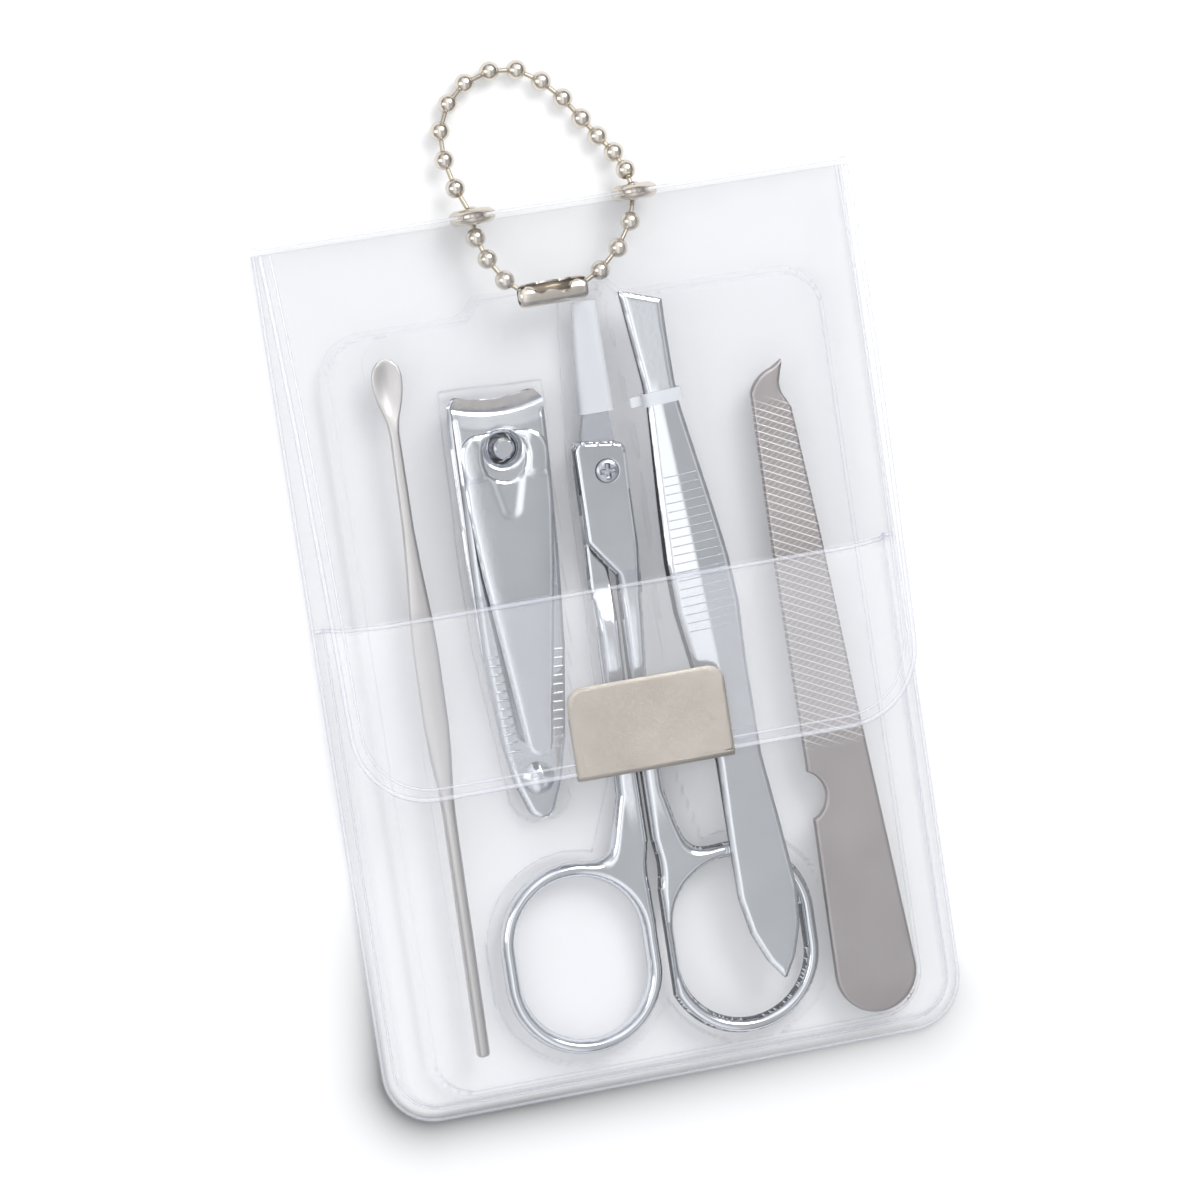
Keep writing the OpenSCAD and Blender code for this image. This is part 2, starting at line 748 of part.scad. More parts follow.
module scissor_front_blade() {
    color([0.76, 0.77, 0.8]) centred() difference() {
        translate([0, 0, tool_z + handle_t + blade_t + run_gap]) blade();
        screw_hole();
    }
}

module pivot_screw() {
    crown = 0.55;
    ball_r = (screw_head_r * screw_head_r + crown * crown) / (2 * crown);
    color([0.78, 0.78, 0.8]) centred() translate([pivot[0], pivot[1], 0]) difference() {
        union() {
            translate([0, 0, tool_z]) cylinder(h = stack_z - tool_z + 0.1, r = screw_r);
            translate([0, 0, stack_z + 0.05]) intersection() {
                translate([0, 0, crown - ball_r]) sphere(ball_r);
                cylinder(h = crown + 1, r = screw_head_r);
            }
        }
        for (a = [35, 125]) {
            translate([0, 0, stack_z + crown]) rotate(a) cube([1.7, 0.35, 0.6], center = true);
        }
    }
}

// Clear flattened tube over both points
module tip_sleeve() {
    low = tool_z + handle_t - 0.5;
    high = stack_z - handle_t + 0.5;
    wall = 0.3;
    color([0.9, 0.93, 0.97, 0.5]) centred() difference() {
        translate([0, 0, low]) linear_extrude(high - low)
            polygon([[-0.65, 82.6], [3.5, 82.6], [3.3, 96.1], [0.5, 96.1]]);
        translate([0, 0, low + wall]) linear_extrude(high - low - 2 * wall)
            polygon([[-0.45, 81], [3.22, 81], [2.98, 97], [0.84, 97]]);
    }
}

// ---- tweezers ----

module at_tweezers() {
    centred() translate([tweezer_x, tweezer_y, tweezer_z]) rotate(tweezer_tilt) children();
}

// Outline of one arm: pointed tail, broad grip and a slanted tip
module arm_outline() {
    polygon([
        [0, 0], [1.7, 2.6], [3.1, 6.4], [3.7, 11], [3.3, 19], [2.7, 28], [3.2, 40], [3.8, 47], [3.7, 53],
        [3.1, 60], [1.9, 72], [1.9, 75], [2.2, 81], [2.45, tweezer_l - 2],
        [-2.45, tweezer_l], [-2.1, 81], [-1.9, 75], [-1.9, 72], [-3.1, 60], [-3.7, 53], [-3.8, 47],
        [-3.2, 40], [-2.7, 28], [-3.3, 19], [-3.7, 11], [-3.1, 6.4], [-1.7, 2.6]
    ]);
}

// Half the gap between the arms: shut at the tail, bowed in the middle, almost shut at the tips
function arm_gap(u) =
    u < 12 ? 0 : u > 80 ? tip_gap / 2
    : arm_bow * pow(sin(180 * (u - 12) / 68), 2) + tip_gap / 2 * (u - 12) / 68;

module tweezer_arm() {
    steps = 17;
    inner = concat([[0, 0]], [for (i = [0:steps]) let(u = 12 + 68 * i / steps) [u, arm_gap(u)]],
                   [[tweezer_l, tip_gap / 2]]);
    outer = [for (i = [len(inner) - 1:-1:0]) inner[i] + [0, arm_t]];
    intersection() {
        along_x(12) polygon(concat(inner, outer));
        linear_extrude(4 * arm_t) arm_outline();
    }
}

module tweezer_front_arm() {
    color([0.8, 0.81, 0.85]) at_tweezers() tweezer_arm();
}

module tweezer_rear_arm() {
    color([0.78, 0.79, 0.83]) at_tweezers() mirror([0, 0, 1]) tweezer_arm();
}

// Clear band that holds the arms shut, with its small tab
module tweezer_band() {
    inner_h = 2 * (arm_t + arm_gap(band_u) + 0.12);
    color([0.9, 0.93, 0.97, 0.5]) at_tweezers() translate([0, band_u, 0]) {
        rotate([90, 0, 0]) linear_extrude(1.7, center = true) difference() {
            round_rect(5, inner_h + 0.7, 0.6);
            square([4.3, inner_h], center = true);
        }
        translate([-3.15, 0, 0]) cube([1.4, 1.3, 0.5], center = true);
    }
}

// ---- nail file ----

module nail_file() {
    half = file_w / 2;
    end = file_l;
    color([0.68, 0.66, 0.65]) centred() translate([file_x, file_y, file_z]) linear_extrude(file_t) difference() {
        polygon(concat(
            arc([0, half], half, 180, 360, 16),
            [[3, 32.6], [2.4, 40.5], [1.1, 60], [-0.2, end - 6]],
            arc([1.6, end - 3.1], 2.9, 215, 165, 4),
            [[-0.7, end - 0.7], [-0.6, end]],
            arc([-0.9, end - 5], 4.3, 105, 160, 5),
            [[-5.1, 58], [-4.9, 33]]
        ));
        translate([-6.2, 28]) circle(3.2);
    }
}

back_sheet();
fold_spine();
flap();
front_pocket();
tray();
clasp();
eyelets();
eyelet_washers();
chain_loop_beads();
chain_loop_pins();
chain_inner_beads();
chain_inner_pins();
chain_connector();
ear_pick();
clipper_lower_leaf();
clipper_upper_leaf();
clipper_lever();
clipper_post();
clipper_rivet();
scissor_rear_handle();
scissor_rear_blade();
scissor_front_handle();
scissor_front_blade();
pivot_screw();
tip_sleeve();
tweezer_rear_arm();
tweezer_front_arm();
tweezer_band();
nail_file();
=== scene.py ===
"""Looks of the clear vinyl manicure case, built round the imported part, which stays as the fixed frame."""
import logging
import math
from collections.abc import Callable, Sequence
from dataclasses import dataclass
from enum import Enum

import bmesh
import bpy
import numpy as np
from mathutils import Matrix, Vector


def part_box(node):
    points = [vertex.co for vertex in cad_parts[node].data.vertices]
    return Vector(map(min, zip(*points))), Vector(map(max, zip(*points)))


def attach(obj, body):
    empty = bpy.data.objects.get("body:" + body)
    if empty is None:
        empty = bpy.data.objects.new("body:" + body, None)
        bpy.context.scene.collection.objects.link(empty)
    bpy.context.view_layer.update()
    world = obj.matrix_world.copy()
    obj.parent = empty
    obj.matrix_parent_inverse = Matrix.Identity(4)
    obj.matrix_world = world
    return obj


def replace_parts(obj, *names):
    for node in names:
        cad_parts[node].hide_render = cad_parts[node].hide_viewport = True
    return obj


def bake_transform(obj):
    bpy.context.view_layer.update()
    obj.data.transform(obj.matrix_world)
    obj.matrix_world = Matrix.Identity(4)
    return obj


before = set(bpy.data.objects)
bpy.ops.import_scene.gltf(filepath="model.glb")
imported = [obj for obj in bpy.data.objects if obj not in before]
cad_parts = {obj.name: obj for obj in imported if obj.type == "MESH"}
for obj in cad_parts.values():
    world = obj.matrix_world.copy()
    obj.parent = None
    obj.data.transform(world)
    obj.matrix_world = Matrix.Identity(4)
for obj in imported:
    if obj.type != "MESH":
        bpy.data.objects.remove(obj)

LOG = logging.getLogger("manicure_case")
MM = 0.001
TINY = 1e-12  # keeps a division from dividing by nothing
CASE_W, CASE_H, FILM, CORNER_R = 73.5, 108.5, 0.35, 6.5
FOLD_Y, MOUTH_Y, SPINE_H = 107.5, 62.0, 7.2
TOOL_Z, TRAY_Z, TRAY_TOP = 0.99, 0.47, 3.87
POCKET_Z, FLAP_Z = 8.04, 8.89
EYELET_X = 10.0

Array = np.ndarray
Outline = Callable[[Array, Array], Array]
Surface = Callable[[Array, Array, Array], Array]
Points = Sequence[Sequence[float]]
Socket = bpy.types.NodeSocket
Feed = Socket | float | Sequence[float]


# ---- shapes in millimetres, X across the case and Y up from the bottom weld ----


def smooth(t: Array) -> Array:
    """Smooth step from 0 to 1."""
    t = np.clip(t, 0, 1)
    return t * t * (3 - 2 * t)


def arc(cx: float, cy: float, r: float, a0: float, a1: float, steps: int = 10) -> list[tuple[float, float]]:
    """Points of an arc.

    Args:
        cx, cy, r: Its centre and radius.
        a0, a1: First and last angle in degrees.
        steps: Number of chords.

    Returns:
        The points in order.
    """
    angles = np.radians(np.linspace(a0, a1, steps + 1))
    return [(cx + r * math.cos(a), cy + r * math.sin(a)) for a in angles]


def polygon(points: Points) -> Outline:
    """Signed distance to a closed outline.

    Args:
        points: Corners of the outline in order.

    Returns:
        A function of x and y, negative inside.
    """
    corners = np.array(points, float)

    def distance(x: Array, y: Array) -> Array:
        """Signed distance of each point.

        Args:
            x, y: The points.

        Returns:
            The distances, negative inside.
        """
        px, py = np.ravel(x), np.ravel(y)
        best, inside = np.full(px.shape, np.inf), np.zeros(px.shape, bool)
        for (ax, ay), (bx, by) in zip(corners, np.roll(corners, -1, 0)):
            ex, ey = bx - ax, by - ay
            t = np.clip(((px - ax) * ex + (py - ay) * ey) / (ex * ex + ey * ey + TINY), 0, 1)
            best = np.minimum(best, (px - ax - t * ex) ** 2 + (py - ay - t * ey) ** 2)
            slope = ex / (ey if abs(ey) > TINY else TINY)
            inside ^= ((ay > py) != (by > py)) & (px < ax + (py - ay) * slope)
        return np.where(inside, -np.sqrt(best), np.sqrt(best)).reshape(np.shape(x))

    return distance


def slot(a: Sequence[float], ra: float, b: Sequence[float], rb: float) -> Outline:
    """Signed distance to a bar with round ends.

    Args:
        a, ra: Centre and radius of one end.
        b, rb: Centre and radius of the other end.

    Returns:
        A function of x and y, negative inside.
    """
    ex, ey = b[0] - a[0], b[1] - a[1]

    def distance(x: Array, y: Array) -> Array:
        """Signed distance of each point."""
        t = np.clip(((x - a[0]) * ex + (y - a[1]) * ey) / (ex * ex + ey * ey + TINY), 0, 1)
        return np.hypot(x - a[0] - t * ex, y - a[1] - t * ey) - (ra + (rb - ra) * t)

    return distance


def disc(x: float, y: float, radius: float) -> Outline:
    """Signed distance to a disc."""
    return slot((x, y), radius, (x, y + 0.01), radius)


def union(*shapes: Outline) -> Outline:
    """All the shapes together."""
    return lambda x, y: np.minimum.reduce([s(x, y) for s in shapes])


def filleted(a: Outline, b: Outline, radius: float) -> Outline:
    """Two shapes joined with a fillet.

    Args:
        a, b: The shapes.
        radius: Size of the fillet.

    Returns:
        A function of x and y, negative inside.
    """

    def distance(x: Array, y: Array) -> Array:
        """Signed distance of each point.

        Args:
            x, y: The points.

        Returns:
            The distances, negative inside.
        """
        da, db = a(x, y), b(x, y)
        h = np.clip(0.5 + 0.5 * (db - da) / radius, 0, 1)
        return db + (da - db) * h - radius * h * (1 - h)

    return distance


def cut(shape: Outline, *holes: Outline) -> Outline:
    """The shape without its holes."""
    return lambda x, y: np.maximum.reduce([shape(x, y), *[-h(x, y) for h in holes]])


def strip(row: Points) -> Outline:
    """Outline round a row of stations, with round ends, as the tray's recesses are drawn in the CAD.

    Args:
        row: Stations of x, y and half width.

    Returns:
        A function of x and y, negative inside.
    """
    first, last, middle = row[0], row[-1], row[1:-1]
    return polygon([
        *arc(*first, 180, 360), *[(x + w, y) for x, y, w in middle],
        *arc(*last, 0, 180), *[(x - w, y) for x, y, w in middle[::-1]],
    ])


def worn(depth: Array, reach: float) -> Array:
    """Share of an edge's rounding at a depth: 1 at the edge, and 0 from the reach inwards."""
    return (1 - np.clip(depth / reach, 0, 1)) ** 2


def rounded(depth: Array, radius: float | Array, thick: float | Array) -> Array:
    """Half the thickness of a plate whose edges are rounded."""
    return thick / 2 * np.sqrt(np.maximum(1 - (1 - np.clip(depth / radius, 0, 1)) ** 2, 0))


def unit(rows: Array) -> Array:
    """Each row as a vector of length 1."""
    return rows / (np.linalg.norm(rows, axis=1)[:, None] + TINY)


@dataclass(frozen=True)
class Place:
    """Where a tool's own axes stand on the case: its origin, height and tilt in degrees."""

    x: float = 0.0
    y: float = 0.0
    z: float = 0.0
    tilt: float = 0.0

    def _turn(self) -> tuple[float, float]:
        """Cosine and sine of the tilt."""
        return math.cos(math.radians(self.tilt)), math.sin(math.radians(self.tilt))

    def out(self, points: Array) -> Array:
        """Carries points out to the case.

        Args:
            points: Points in the tool's own axes, in millimetres.

        Returns:
            The points in the row frame, in metres.
        """
        c, s = self._turn()
        x, y, z = np.array(points, float).T
        return np.stack([c * x - s * y + self.x, s * x + c * y + self.y - CASE_H / 2, z + self.z], 1) * MM

    def seen(self, shape: Outline) -> Outline:
        """Carries an outline out to the case.

        Args:
            shape: The outline in the tool's own axes.

        Returns:
            The outline on the case.
        """
        c, s = self._turn()
        return lambda x, y: shape(
            c * (x - self.x) + s * (y - self.y), c * (y - self.y) - s * (x - self.x)
        )


ON_CASE = Place()


# ---- node trees and finishes ----


@dataclass(frozen=True)
class Wiring:
    """A node tree, with short ways to add its nodes and to feed them."""

    tree: bpy.types.NodeTree

    def add(self, kind: str, feeds: dict[str | int, Feed] | None = None, **settings: str | bool) -> bpy.types.Node:
        """Adds a node.

        Args:
            kind: Its type.
            feeds: A socket or a value for each of its inputs, by name or number.
            settings: Its other properties.

        Returns:
            The node.
        """
        node = self.tree.nodes.new(kind)
        for name, value in settings.items():
            setattr(node, name, value)
        self.feed(node, feeds or {})
        return node

    def feed(self, node: bpy.types.Node, feeds: dict[str | int, Feed]) -> None:
        """Gives a node's inputs their sockets or values.

        Args:
            node: The node.
            feeds: A socket or a value for each input, by name or number.
        """
        for at, source in feeds.items():
            if isinstance(source, Socket):
                self.tree.links.new(source, node.inputs[at])
            else:
                node.inputs[at].default_value = source

    def noise(self, vector: Socket, scale: float, detail: float) -> Socket:
        """The level of a noise texture on a vector."""
        return self.add("ShaderNodeTexNoise", {"Vector": vector, "Scale": scale, "Detail": detail}).outputs["Fac"]

    def spread(self, value: Socket, given: tuple[float, float], wanted: tuple[float, float] = (0.0, 1.0)) -> Socket:
        """Carries a value from one range to another.

        Args:
            value: The value.
            given: The range that it comes in, which may fall.
            wanted: The range that it is carried to.

        Returns:
            The new value, kept inside the wanted range.
        """
        return self.add("ShaderNodeMapRange", {
            "Value": value, "From Min": given[0], "From Max": given[1], "To Min": wanted[0], "To Max": wanted[1],
        }).outputs["Result"]

    def math(self, operation: str, a: Feed, b: Feed, clamped: bool = False) -> Socket:
        """The result of a math step."""
        return self.add("ShaderNodeMath", {0: a, 1: b}, operation=operation, use_clamp=clamped).outputs["Value"]

    def vector(self, operation: str, a: Feed, b: Feed = (0, 0, 0), result: str = "Vector") -> Socket:
        """The result of a vector math step."""
        return self.add("ShaderNodeVectorMath", {0: a, 1: b}, operation=operation).outputs[result]

    def mixed(self, share: Feed, a: Feed, b: Feed) -> Socket:
        """The mix of two colours."""
        return self.add("ShaderNodeMix", {"Factor": share, "A": a, "B": b}, data_type="RGBA").outputs["Result"]

    def bump(self, height: Socket, strength: float, distance: float, under: Socket | None = None) -> Socket:
        """Raises a surface by a height.

        Args:
            height: The height, from 0 to 1.
            strength: Strength of the bump.
            distance: What a height of 1 stands for, in metres.
            under: Normal that the bump is laid on, where that isn't the surface's own.

        Returns:
            The new normal.
        """
        feeds = {"Height": height, "Strength": strength, "Distance": distance}
        if under:
            feeds["Normal"] = under
        return self.add("ShaderNodeBump", feeds).outputs["Normal"]


def rgb(r: int, g: int, b: int) -> tuple[float, float, float]:
    """A colour written in screen values, as linear light."""
    return tuple((v / 255 / 12.92) if v <= 10 else ((v / 255 + 0.055) / 1.055) ** 2.4 for v in (r, g, b))


class Kind(Enum):
    """What a finish is made of."""

    METAL = "metal"
    CLEAR = "clear"


@dataclass(frozen=True)
class Finish:
    """One surface finish, built as a procedural material on Object coordinates."""

    name: str
    kind: Kind
    light: tuple[float, float, float]
    dark: tuple[float, float, float]
    rough: tuple[float, float] = (0.2, 0.3)
    grain: float = 0.1
    grain_size: float = 0.0004
    stretch: tuple[float, float, float] = (1.0, 1.0, 1.0)
    alpha: tuple[float, float] = (1.0, 1.0)
    # alpha added below the mouth, as painted light: a painted sheen on the flap film, less shade through the back
    # film
    painted_light_below_mouth: float = 0.0
    toothed: bool = False

    def build(self) -> bpy.types.Material:
        """Makes the material.

        Returns:
            The material, made once for each finish.
        """
        known = bpy.data.materials.get(self.name)
        if known:
            return known
        mat = bpy.data.materials.new(self.name)
        mat.use_nodes = True
        wiring, shader = Wiring(mat.node_tree), mat.node_tree.nodes["Principled BSDF"]
        place = wiring.add("ShaderNodeTexCoord").outputs["Object"]
        stretched = wiring.add("ShaderNodeMapping", {"Vector": place, "Scale": self.stretch}).outputs["Vector"]
        grain = wiring.noise(stretched, 1 / self.grain_size, 4)
        share = mottle = wiring.noise(place, 90, 3)
        if self.kind is Kind.CLEAR:
            share, alpha = self._see_through(wiring)
            if self.painted_light_below_mouth:
                alpha = self._painted_light_below_mouth(wiring, place, alpha)
            wiring.feed(shader, {"Alpha": alpha, "IOR": 1.52})
        colour = wiring.mixed(share, (*self.dark, 1), (*self.light, 1))
        normal = wiring.bump(grain, self.grain, self.grain_size * 0.2)
        if self.toothed:
            colour, normal = self._teeth(wiring, place, colour, normal)
        wiring.feed(shader, {
            "Base Color": colour, "Roughness": wiring.spread(mottle, (0.3, 0.7), self.rough), "Normal": normal,
            "Metallic": 1.0 if self.kind is Kind.METAL else 0.0,
        })
        return mat

    def _see_through(self, wiring: Wiring) -> tuple[Socket, Socket]:
        """Clear film: almost nothing face on, more body and a darker edge where it turns away.

        Args:
            wiring: The material's tree.

        Returns:
            The share of the light colour, and the alpha.
        """
        facing = wiring.add("ShaderNodeLayerWeight", {"Blend": 0.35}).outputs["Facing"]
        return wiring.spread(facing, (0.95, 0.4)), wiring.spread(facing, (0.3, 0.95), self.alpha)

    def _painted_light_below_mouth(self, wiring: Wiring, place: Socket, alpha: Socket) -> Socket:
        """Painted light below the mouth, where the flap lies on the front sheet and the case lies double: more body
        on the flap film is a painted sheen, and less body on the back film lightens the shade that the films above
        cast.

        Args:
            wiring: The material's tree.
            place: Its Object coordinates.
            alpha: The film's own alpha.

        Returns:
            The new alpha.
        """
        y = wiring.add("ShaderNodeSeparateXYZ", {"Vector": place}).outputs["Y"]
        mouth = (MOUTH_Y - 0.4 - CASE_H / 2) * MM
        return wiring.math("ADD", alpha, wiring.spread(y, (mouth - 0.3 * MM, mouth), (self.painted_light_below_mouth, 0.0)), True)

    def _teeth(self, wiring: Wiring, place: Socket, colour: Socket, normal: Socket) -> tuple[Socket, Socket]:
        """Cut teeth of a nail file: two sets of fine slanting ridges, between its tip and its smooth end, bumped and
        painted lighter as a painted highlight.

        Args:
            wiring: The material's tree.
            place: Its Object coordinates.
            colour: Its colour without teeth.
            normal: Its normal without teeth.

        Returns:
            The colour and the normal with the teeth.
        """
        coarse, fine = (self._wave(wiring, place, turn, pitch) for turn, pitch in ((-64, 0.86), (-121, 0.6)))
        y = wiring.add("ShaderNodeSeparateXYZ", {"Vector": place}).outputs["Y"]
        low, high = (wiring.spread(y, (start * MM, end * MM)) for start, end in ((-16.9, -15.6), (27.2, 25.4)))
        ridge = wiring.math("MAXIMUM", coarse, wiring.math("MULTIPLY", fine, 0.55))
        shown = wiring.math("MULTIPLY", ridge, wiring.math("MULTIPLY", low, high))
        # The ridges' lighter colour is a painted highlight on the teeth; the bump is their real relief.
        return (
            wiring.mixed(shown, colour, (*rgb(232, 229, 227), 1)), wiring.bump(shown, 0.25, 0.08 * MM, normal)
        )

    @staticmethod
    def _wave(wiring: Wiring, place: Socket, turn: float, pitch: float) -> Socket:
        """Thin even lines across a surface.

        Args:
            wiring: The material's tree.
            place: Its Object coordinates.
            turn: Turn of the lines in degrees.
            pitch: Millimetres from line to line.

        Returns:
            A socket that is 1 on the lines and 0 between them.
        """
        turned = wiring.add("ShaderNodeMapping", {"Vector": place, "Rotation": (0, 0, math.radians(turn))})
        wave = wiring.add("ShaderNodeTexWave", {
            "Vector": turned.outputs["Vector"], "Scale": math.pi / (10 * pitch * MM),
        })
        return wiring.spread(wave.outputs["Fac"], (0.9, 1.0))


VINYL = Finish("clear_vinyl", Kind.CLEAR, rgb(238, 238, 238), rgb(170, 172, 204), (0.05, 0.1), 0.12, 0.004,
               alpha=(0.025, 0.45))
# Below the mouth the back film is clearer and the flap film whiter: painted light, less shade through the back and a
# painted sheen on the flap.
BACK_VINYL = Finish("back_vinyl", Kind.CLEAR, rgb(190, 191, 194), rgb(150, 152, 180), (0.05, 0.1), 0.12, 0.004,
                    alpha=(0.092, 0.45), painted_light_below_mouth=-0.058)
FLAP_VINYL = Finish("flap_vinyl", Kind.CLEAR, rgb(250, 251, 254), rgb(160, 163, 204), (0.05, 0.1), 0.12, 0.004,
                    alpha=(0.02, 0.45), painted_light_below_mouth=0.095)
POCKET = Finish("pocket_vinyl", Kind.CLEAR, rgb(250, 252, 255), rgb(196, 200, 224), (0.05, 0.1), 0.12, 0.004,
                alpha=(0.04, 0.38))
LINE = Finish("vinyl_weld", Kind.CLEAR, rgb(250, 251, 255), rgb(98, 100, 180), (0.08, 0.14), 0.1, 0.002,
              alpha=(0.25, 0.8))
TRAY_FILM = Finish("tray_film", Kind.CLEAR, rgb(226, 231, 242), rgb(164, 170, 194), (0.07, 0.13), 0.1, 0.003,
                   alpha=(0.035, 0.44))
SLEEVE = Finish("clear_sleeve", Kind.CLEAR, rgb(246, 249, 255), rgb(150, 156, 190), (0.12, 0.2), 0.15, 0.001,
                alpha=(0.16, 0.6))
CHROME = Finish("polished_chrome", Kind.METAL, rgb(232, 234, 237), rgb(218, 221, 226), (0.1, 0.18), 0.06, 0.0006)
GROUND = Finish("ground_blade", Kind.METAL, rgb(205, 207, 213), rgb(184, 187, 194), (0.22, 0.32), 0.3, 0.0003,
                (6.0, 1.0, 1.0))
NICKEL = Finish("brushed_nickel", Kind.METAL, rgb(212, 205, 196), rgb(170, 163, 154), (0.26, 0.38), 0.6, 0.0003,
                (1.0, 14.0, 14.0))
BEAD_NICKEL = Finish("bead_nickel", Kind.METAL, rgb(232, 225, 214), rgb(206, 197, 184), (0.18, 0.28), 0.12, 0.0004)
WIRE = Finish("link_wire", Kind.METAL, rgb(204, 196, 180), rgb(170, 160, 142), (0.3, 0.4), 0.2, 0.0003)
# Painted shade: dark steel for the walls and under sides of the upper tools, where the gaps between parts fall in
# shade.
PAINTED_SHADE = Finish("painted_shade_steel", Kind.METAL, rgb(92, 94, 102), rgb(56, 58, 66), (0.2, 0.3), 0.1, 0.0006)
SATIN = Finish("satin_steel", Kind.METAL, rgb(174, 167, 167), rgb(148, 141, 142), (0.28, 0.4), 0.35, 0.0002,
               (10.0, 1.0, 10.0))
FILE_STEEL = Finish("file_steel", Kind.METAL, rgb(188, 182, 181), rgb(163, 156, 155), (0.3, 0.42), 0.3, 0.0002,
                    (10.0, 1.0, 10.0), toothed=True)


# ---- mesh makers ----

WELD_M, SLIVER_M = 2e-6, 1e-7  # vertices this near are one, and faces this thin go
WALL_SLOPE = 0.35  # a face that looks up less than this belongs to the walls


def raise_mesh(name: str, points: Array, faces: list, finish: Finish, sharp: float = 38.0,
               under: Finish | None = None) -> bpy.types.Object:
    """Makes one closed mesh piece.

    Args:
        name: Name of the piece.
        points: Vertices in the row frame, in metres.
        faces: Vertex numbers of each face.
        finish: Its finish.
        sharp: Angle in degrees past which an edge stays sharp.
        under: Finish of its walls and under side, where that differs, which paints shade on them.

    Returns:
        The new object, at the origin.
    """
    mesh = bpy.data.meshes.new(name)
    mesh.from_pydata(points.tolist(), [], faces)
    form = bmesh.new()
    form.from_mesh(mesh)
    bmesh.ops.remove_doubles(form, verts=form.verts, dist=WELD_M)
    bmesh.ops.dissolve_degenerate(form, edges=form.edges, dist=SLIVER_M)
    form.to_mesh(mesh)
    form.free()
    mesh.shade_smooth()
    mesh.set_sharp_from_angle(angle=math.radians(sharp))
    mesh.materials.append(finish.build())
    # Faces that look up less than WALL_SLOPE take the second finish, a painted shade.
    if under:
        mesh.materials.append(under.build())
        for face in mesh.polygons:
            face.material_index = int(face.normal.z < WALL_SLOPE)
    obj = bpy.data.objects.new(name, mesh)
    bpy.context.scene.collection.objects.link(obj)
    LOG.info("%s: %d faces", name, len(mesh.polygons))
    return obj


@dataclass(frozen=True)
class Plate:
    """A plate drawn from a flat outline, with any top and under side: a grid whose rim is drawn onto the outline."""

    outline: Outline
    box: tuple[float, float, float, float]
    top: Surface
    under: Surface
    pitch: float = 0.3

    def raised(self, name: str, place: Place, finish: Finish, sharp: float = 38.0,
               under: Finish | None = None) -> bpy.types.Object:
        """Makes the plate.

        Args:
            name: Name of the piece.
            place: Where its own axes stand.
            finish: Its finish.
            sharp: Angle in degrees past which an edge stays sharp.
            under: Finish of its walls and under side, where that differs, which paints shade on them.

        Returns:
            The new object.
        """
        x0, y0, x1, y1 = self.box
        p = self.pitch
        gx, gy = np.meshgrid(np.arange(x0 - p, x1 + 1.5 * p, p), np.arange(y0 - p, y1 + 1.5 * p, p), indexing="ij")
        cells = self.outline(gx[:-1, :-1] + p / 2, gy[:-1, :-1] + p / 2) < 0
        wide = np.pad(cells, 1)
        around = wide[1:, 1:].astype(int) + wide[:-1, 1:] + wide[1:, :-1] + wide[:-1, :-1]
        rim, used = (around > 0) & (around < 4), around > 0
        e = 0.01
        for _ in range(4):
            x, y = gx[rim], gy[rim]
            d = self.outline(x, y)
            dx = (self.outline(x + e, y) - self.outline(x - e, y)) / (2 * e)
            dy = (self.outline(x, y + e) - self.outline(x, y - e)) / (2 * e)
            n = np.maximum(dx * dx + dy * dy, 0.3)
            gx[rim] -= np.clip(d * dx / n, -p, p)
            gy[rim] -= np.clip(d * dy / n, -p, p)
        depth = np.where(rim, 0, np.maximum(-self.outline(gx, gy), 0))
        ids = np.full(gx.shape, -1)
        ids[used] = np.arange(used.sum())
        x, y, d = gx[used], gy[used], depth[used]
        points = np.concatenate([
            np.stack([x, y, self.top(x, y, d)], 1), np.stack([x, y, self.under(x, y, d)], 1)
        ])
        return raise_mesh(name, place.out(points), self._faces(cells, ids, int(used.sum())), finish, sharp, under)

    @staticmethod
    def _faces(cells: Array, ids: Array, count: int) -> list:
        """Faces of the top, the under side and the rim wall.

        Args:
            cells: Which grid cells are filled.
            ids: Vertex number at each grid corner.
            count: Number of top vertices.

        Returns:
            The faces.
        """
        i, j = np.nonzero(cells)
        ring = [ids[i, j], ids[i + 1, j], ids[i + 1, j + 1], ids[i, j + 1]]
        top = np.stack(ring, 1)
        faces = top.tolist() + (top[:, ::-1] + count).tolist()
        wide = np.pad(cells, 1)
        nearby = [wide[i + 1, j], wide[i + 2, j + 1], wide[i + 1, j + 2], wide[i, j + 1]]
        for side in range(4):
            a, b = ring[side], ring[(side + 1) % 4]
            rim = ~nearby[side]
            faces += np.stack([a + count, b + count, b, a], 1)[rim].tolist()
        return faces


def tube(path: Points, width: float, height: float, sides: int = 8) -> tuple[Array, list]:
    """A rod along a path.

    Args:
        path: Points in millimetres.
        width, height: Its size across and upright.
        sides: Number of faces round it.

    Returns:
        Its points and faces.
    """
    line = np.array(path, float)
    ahead = unit(np.gradient(line, axis=0))
    side = unit(np.cross(np.array([0, 0, 1.0]), ahead))
    up = np.cross(ahead, side)
    turns = np.linspace(0, 2 * math.pi, sides, endpoint=False)
    rings = [
        line + side * width / 2 * math.cos(t) + up * height / 2 * math.sin(t) for t in turns
    ]
    points = np.stack(rings, 1).reshape(-1, 3)
    return points, ring_faces(len(line), sides)


def ring_faces(rows: int, sides: int, closed: bool = False) -> list:
    """Faces of a skin of rings.

    Args:
        rows: Number of rings.
        sides: Points in each ring.
        closed: True if the last ring meets the first.

    Returns:
        The faces, with both ends capped unless it is closed.
    """
    faces = []
    for r in range(rows if closed else rows - 1):
        a, b = r * sides, (r + 1) % rows * sides
        faces += [(a + k, b + k, b + (k + 1) % sides, a + (k + 1) % sides) for k in range(sides)]
    if not closed:
        faces += [tuple(range(sides)), tuple(reversed(range((rows - 1) * sides, rows * sides)))]
    return [tuple(reversed(f)) for f in faces]


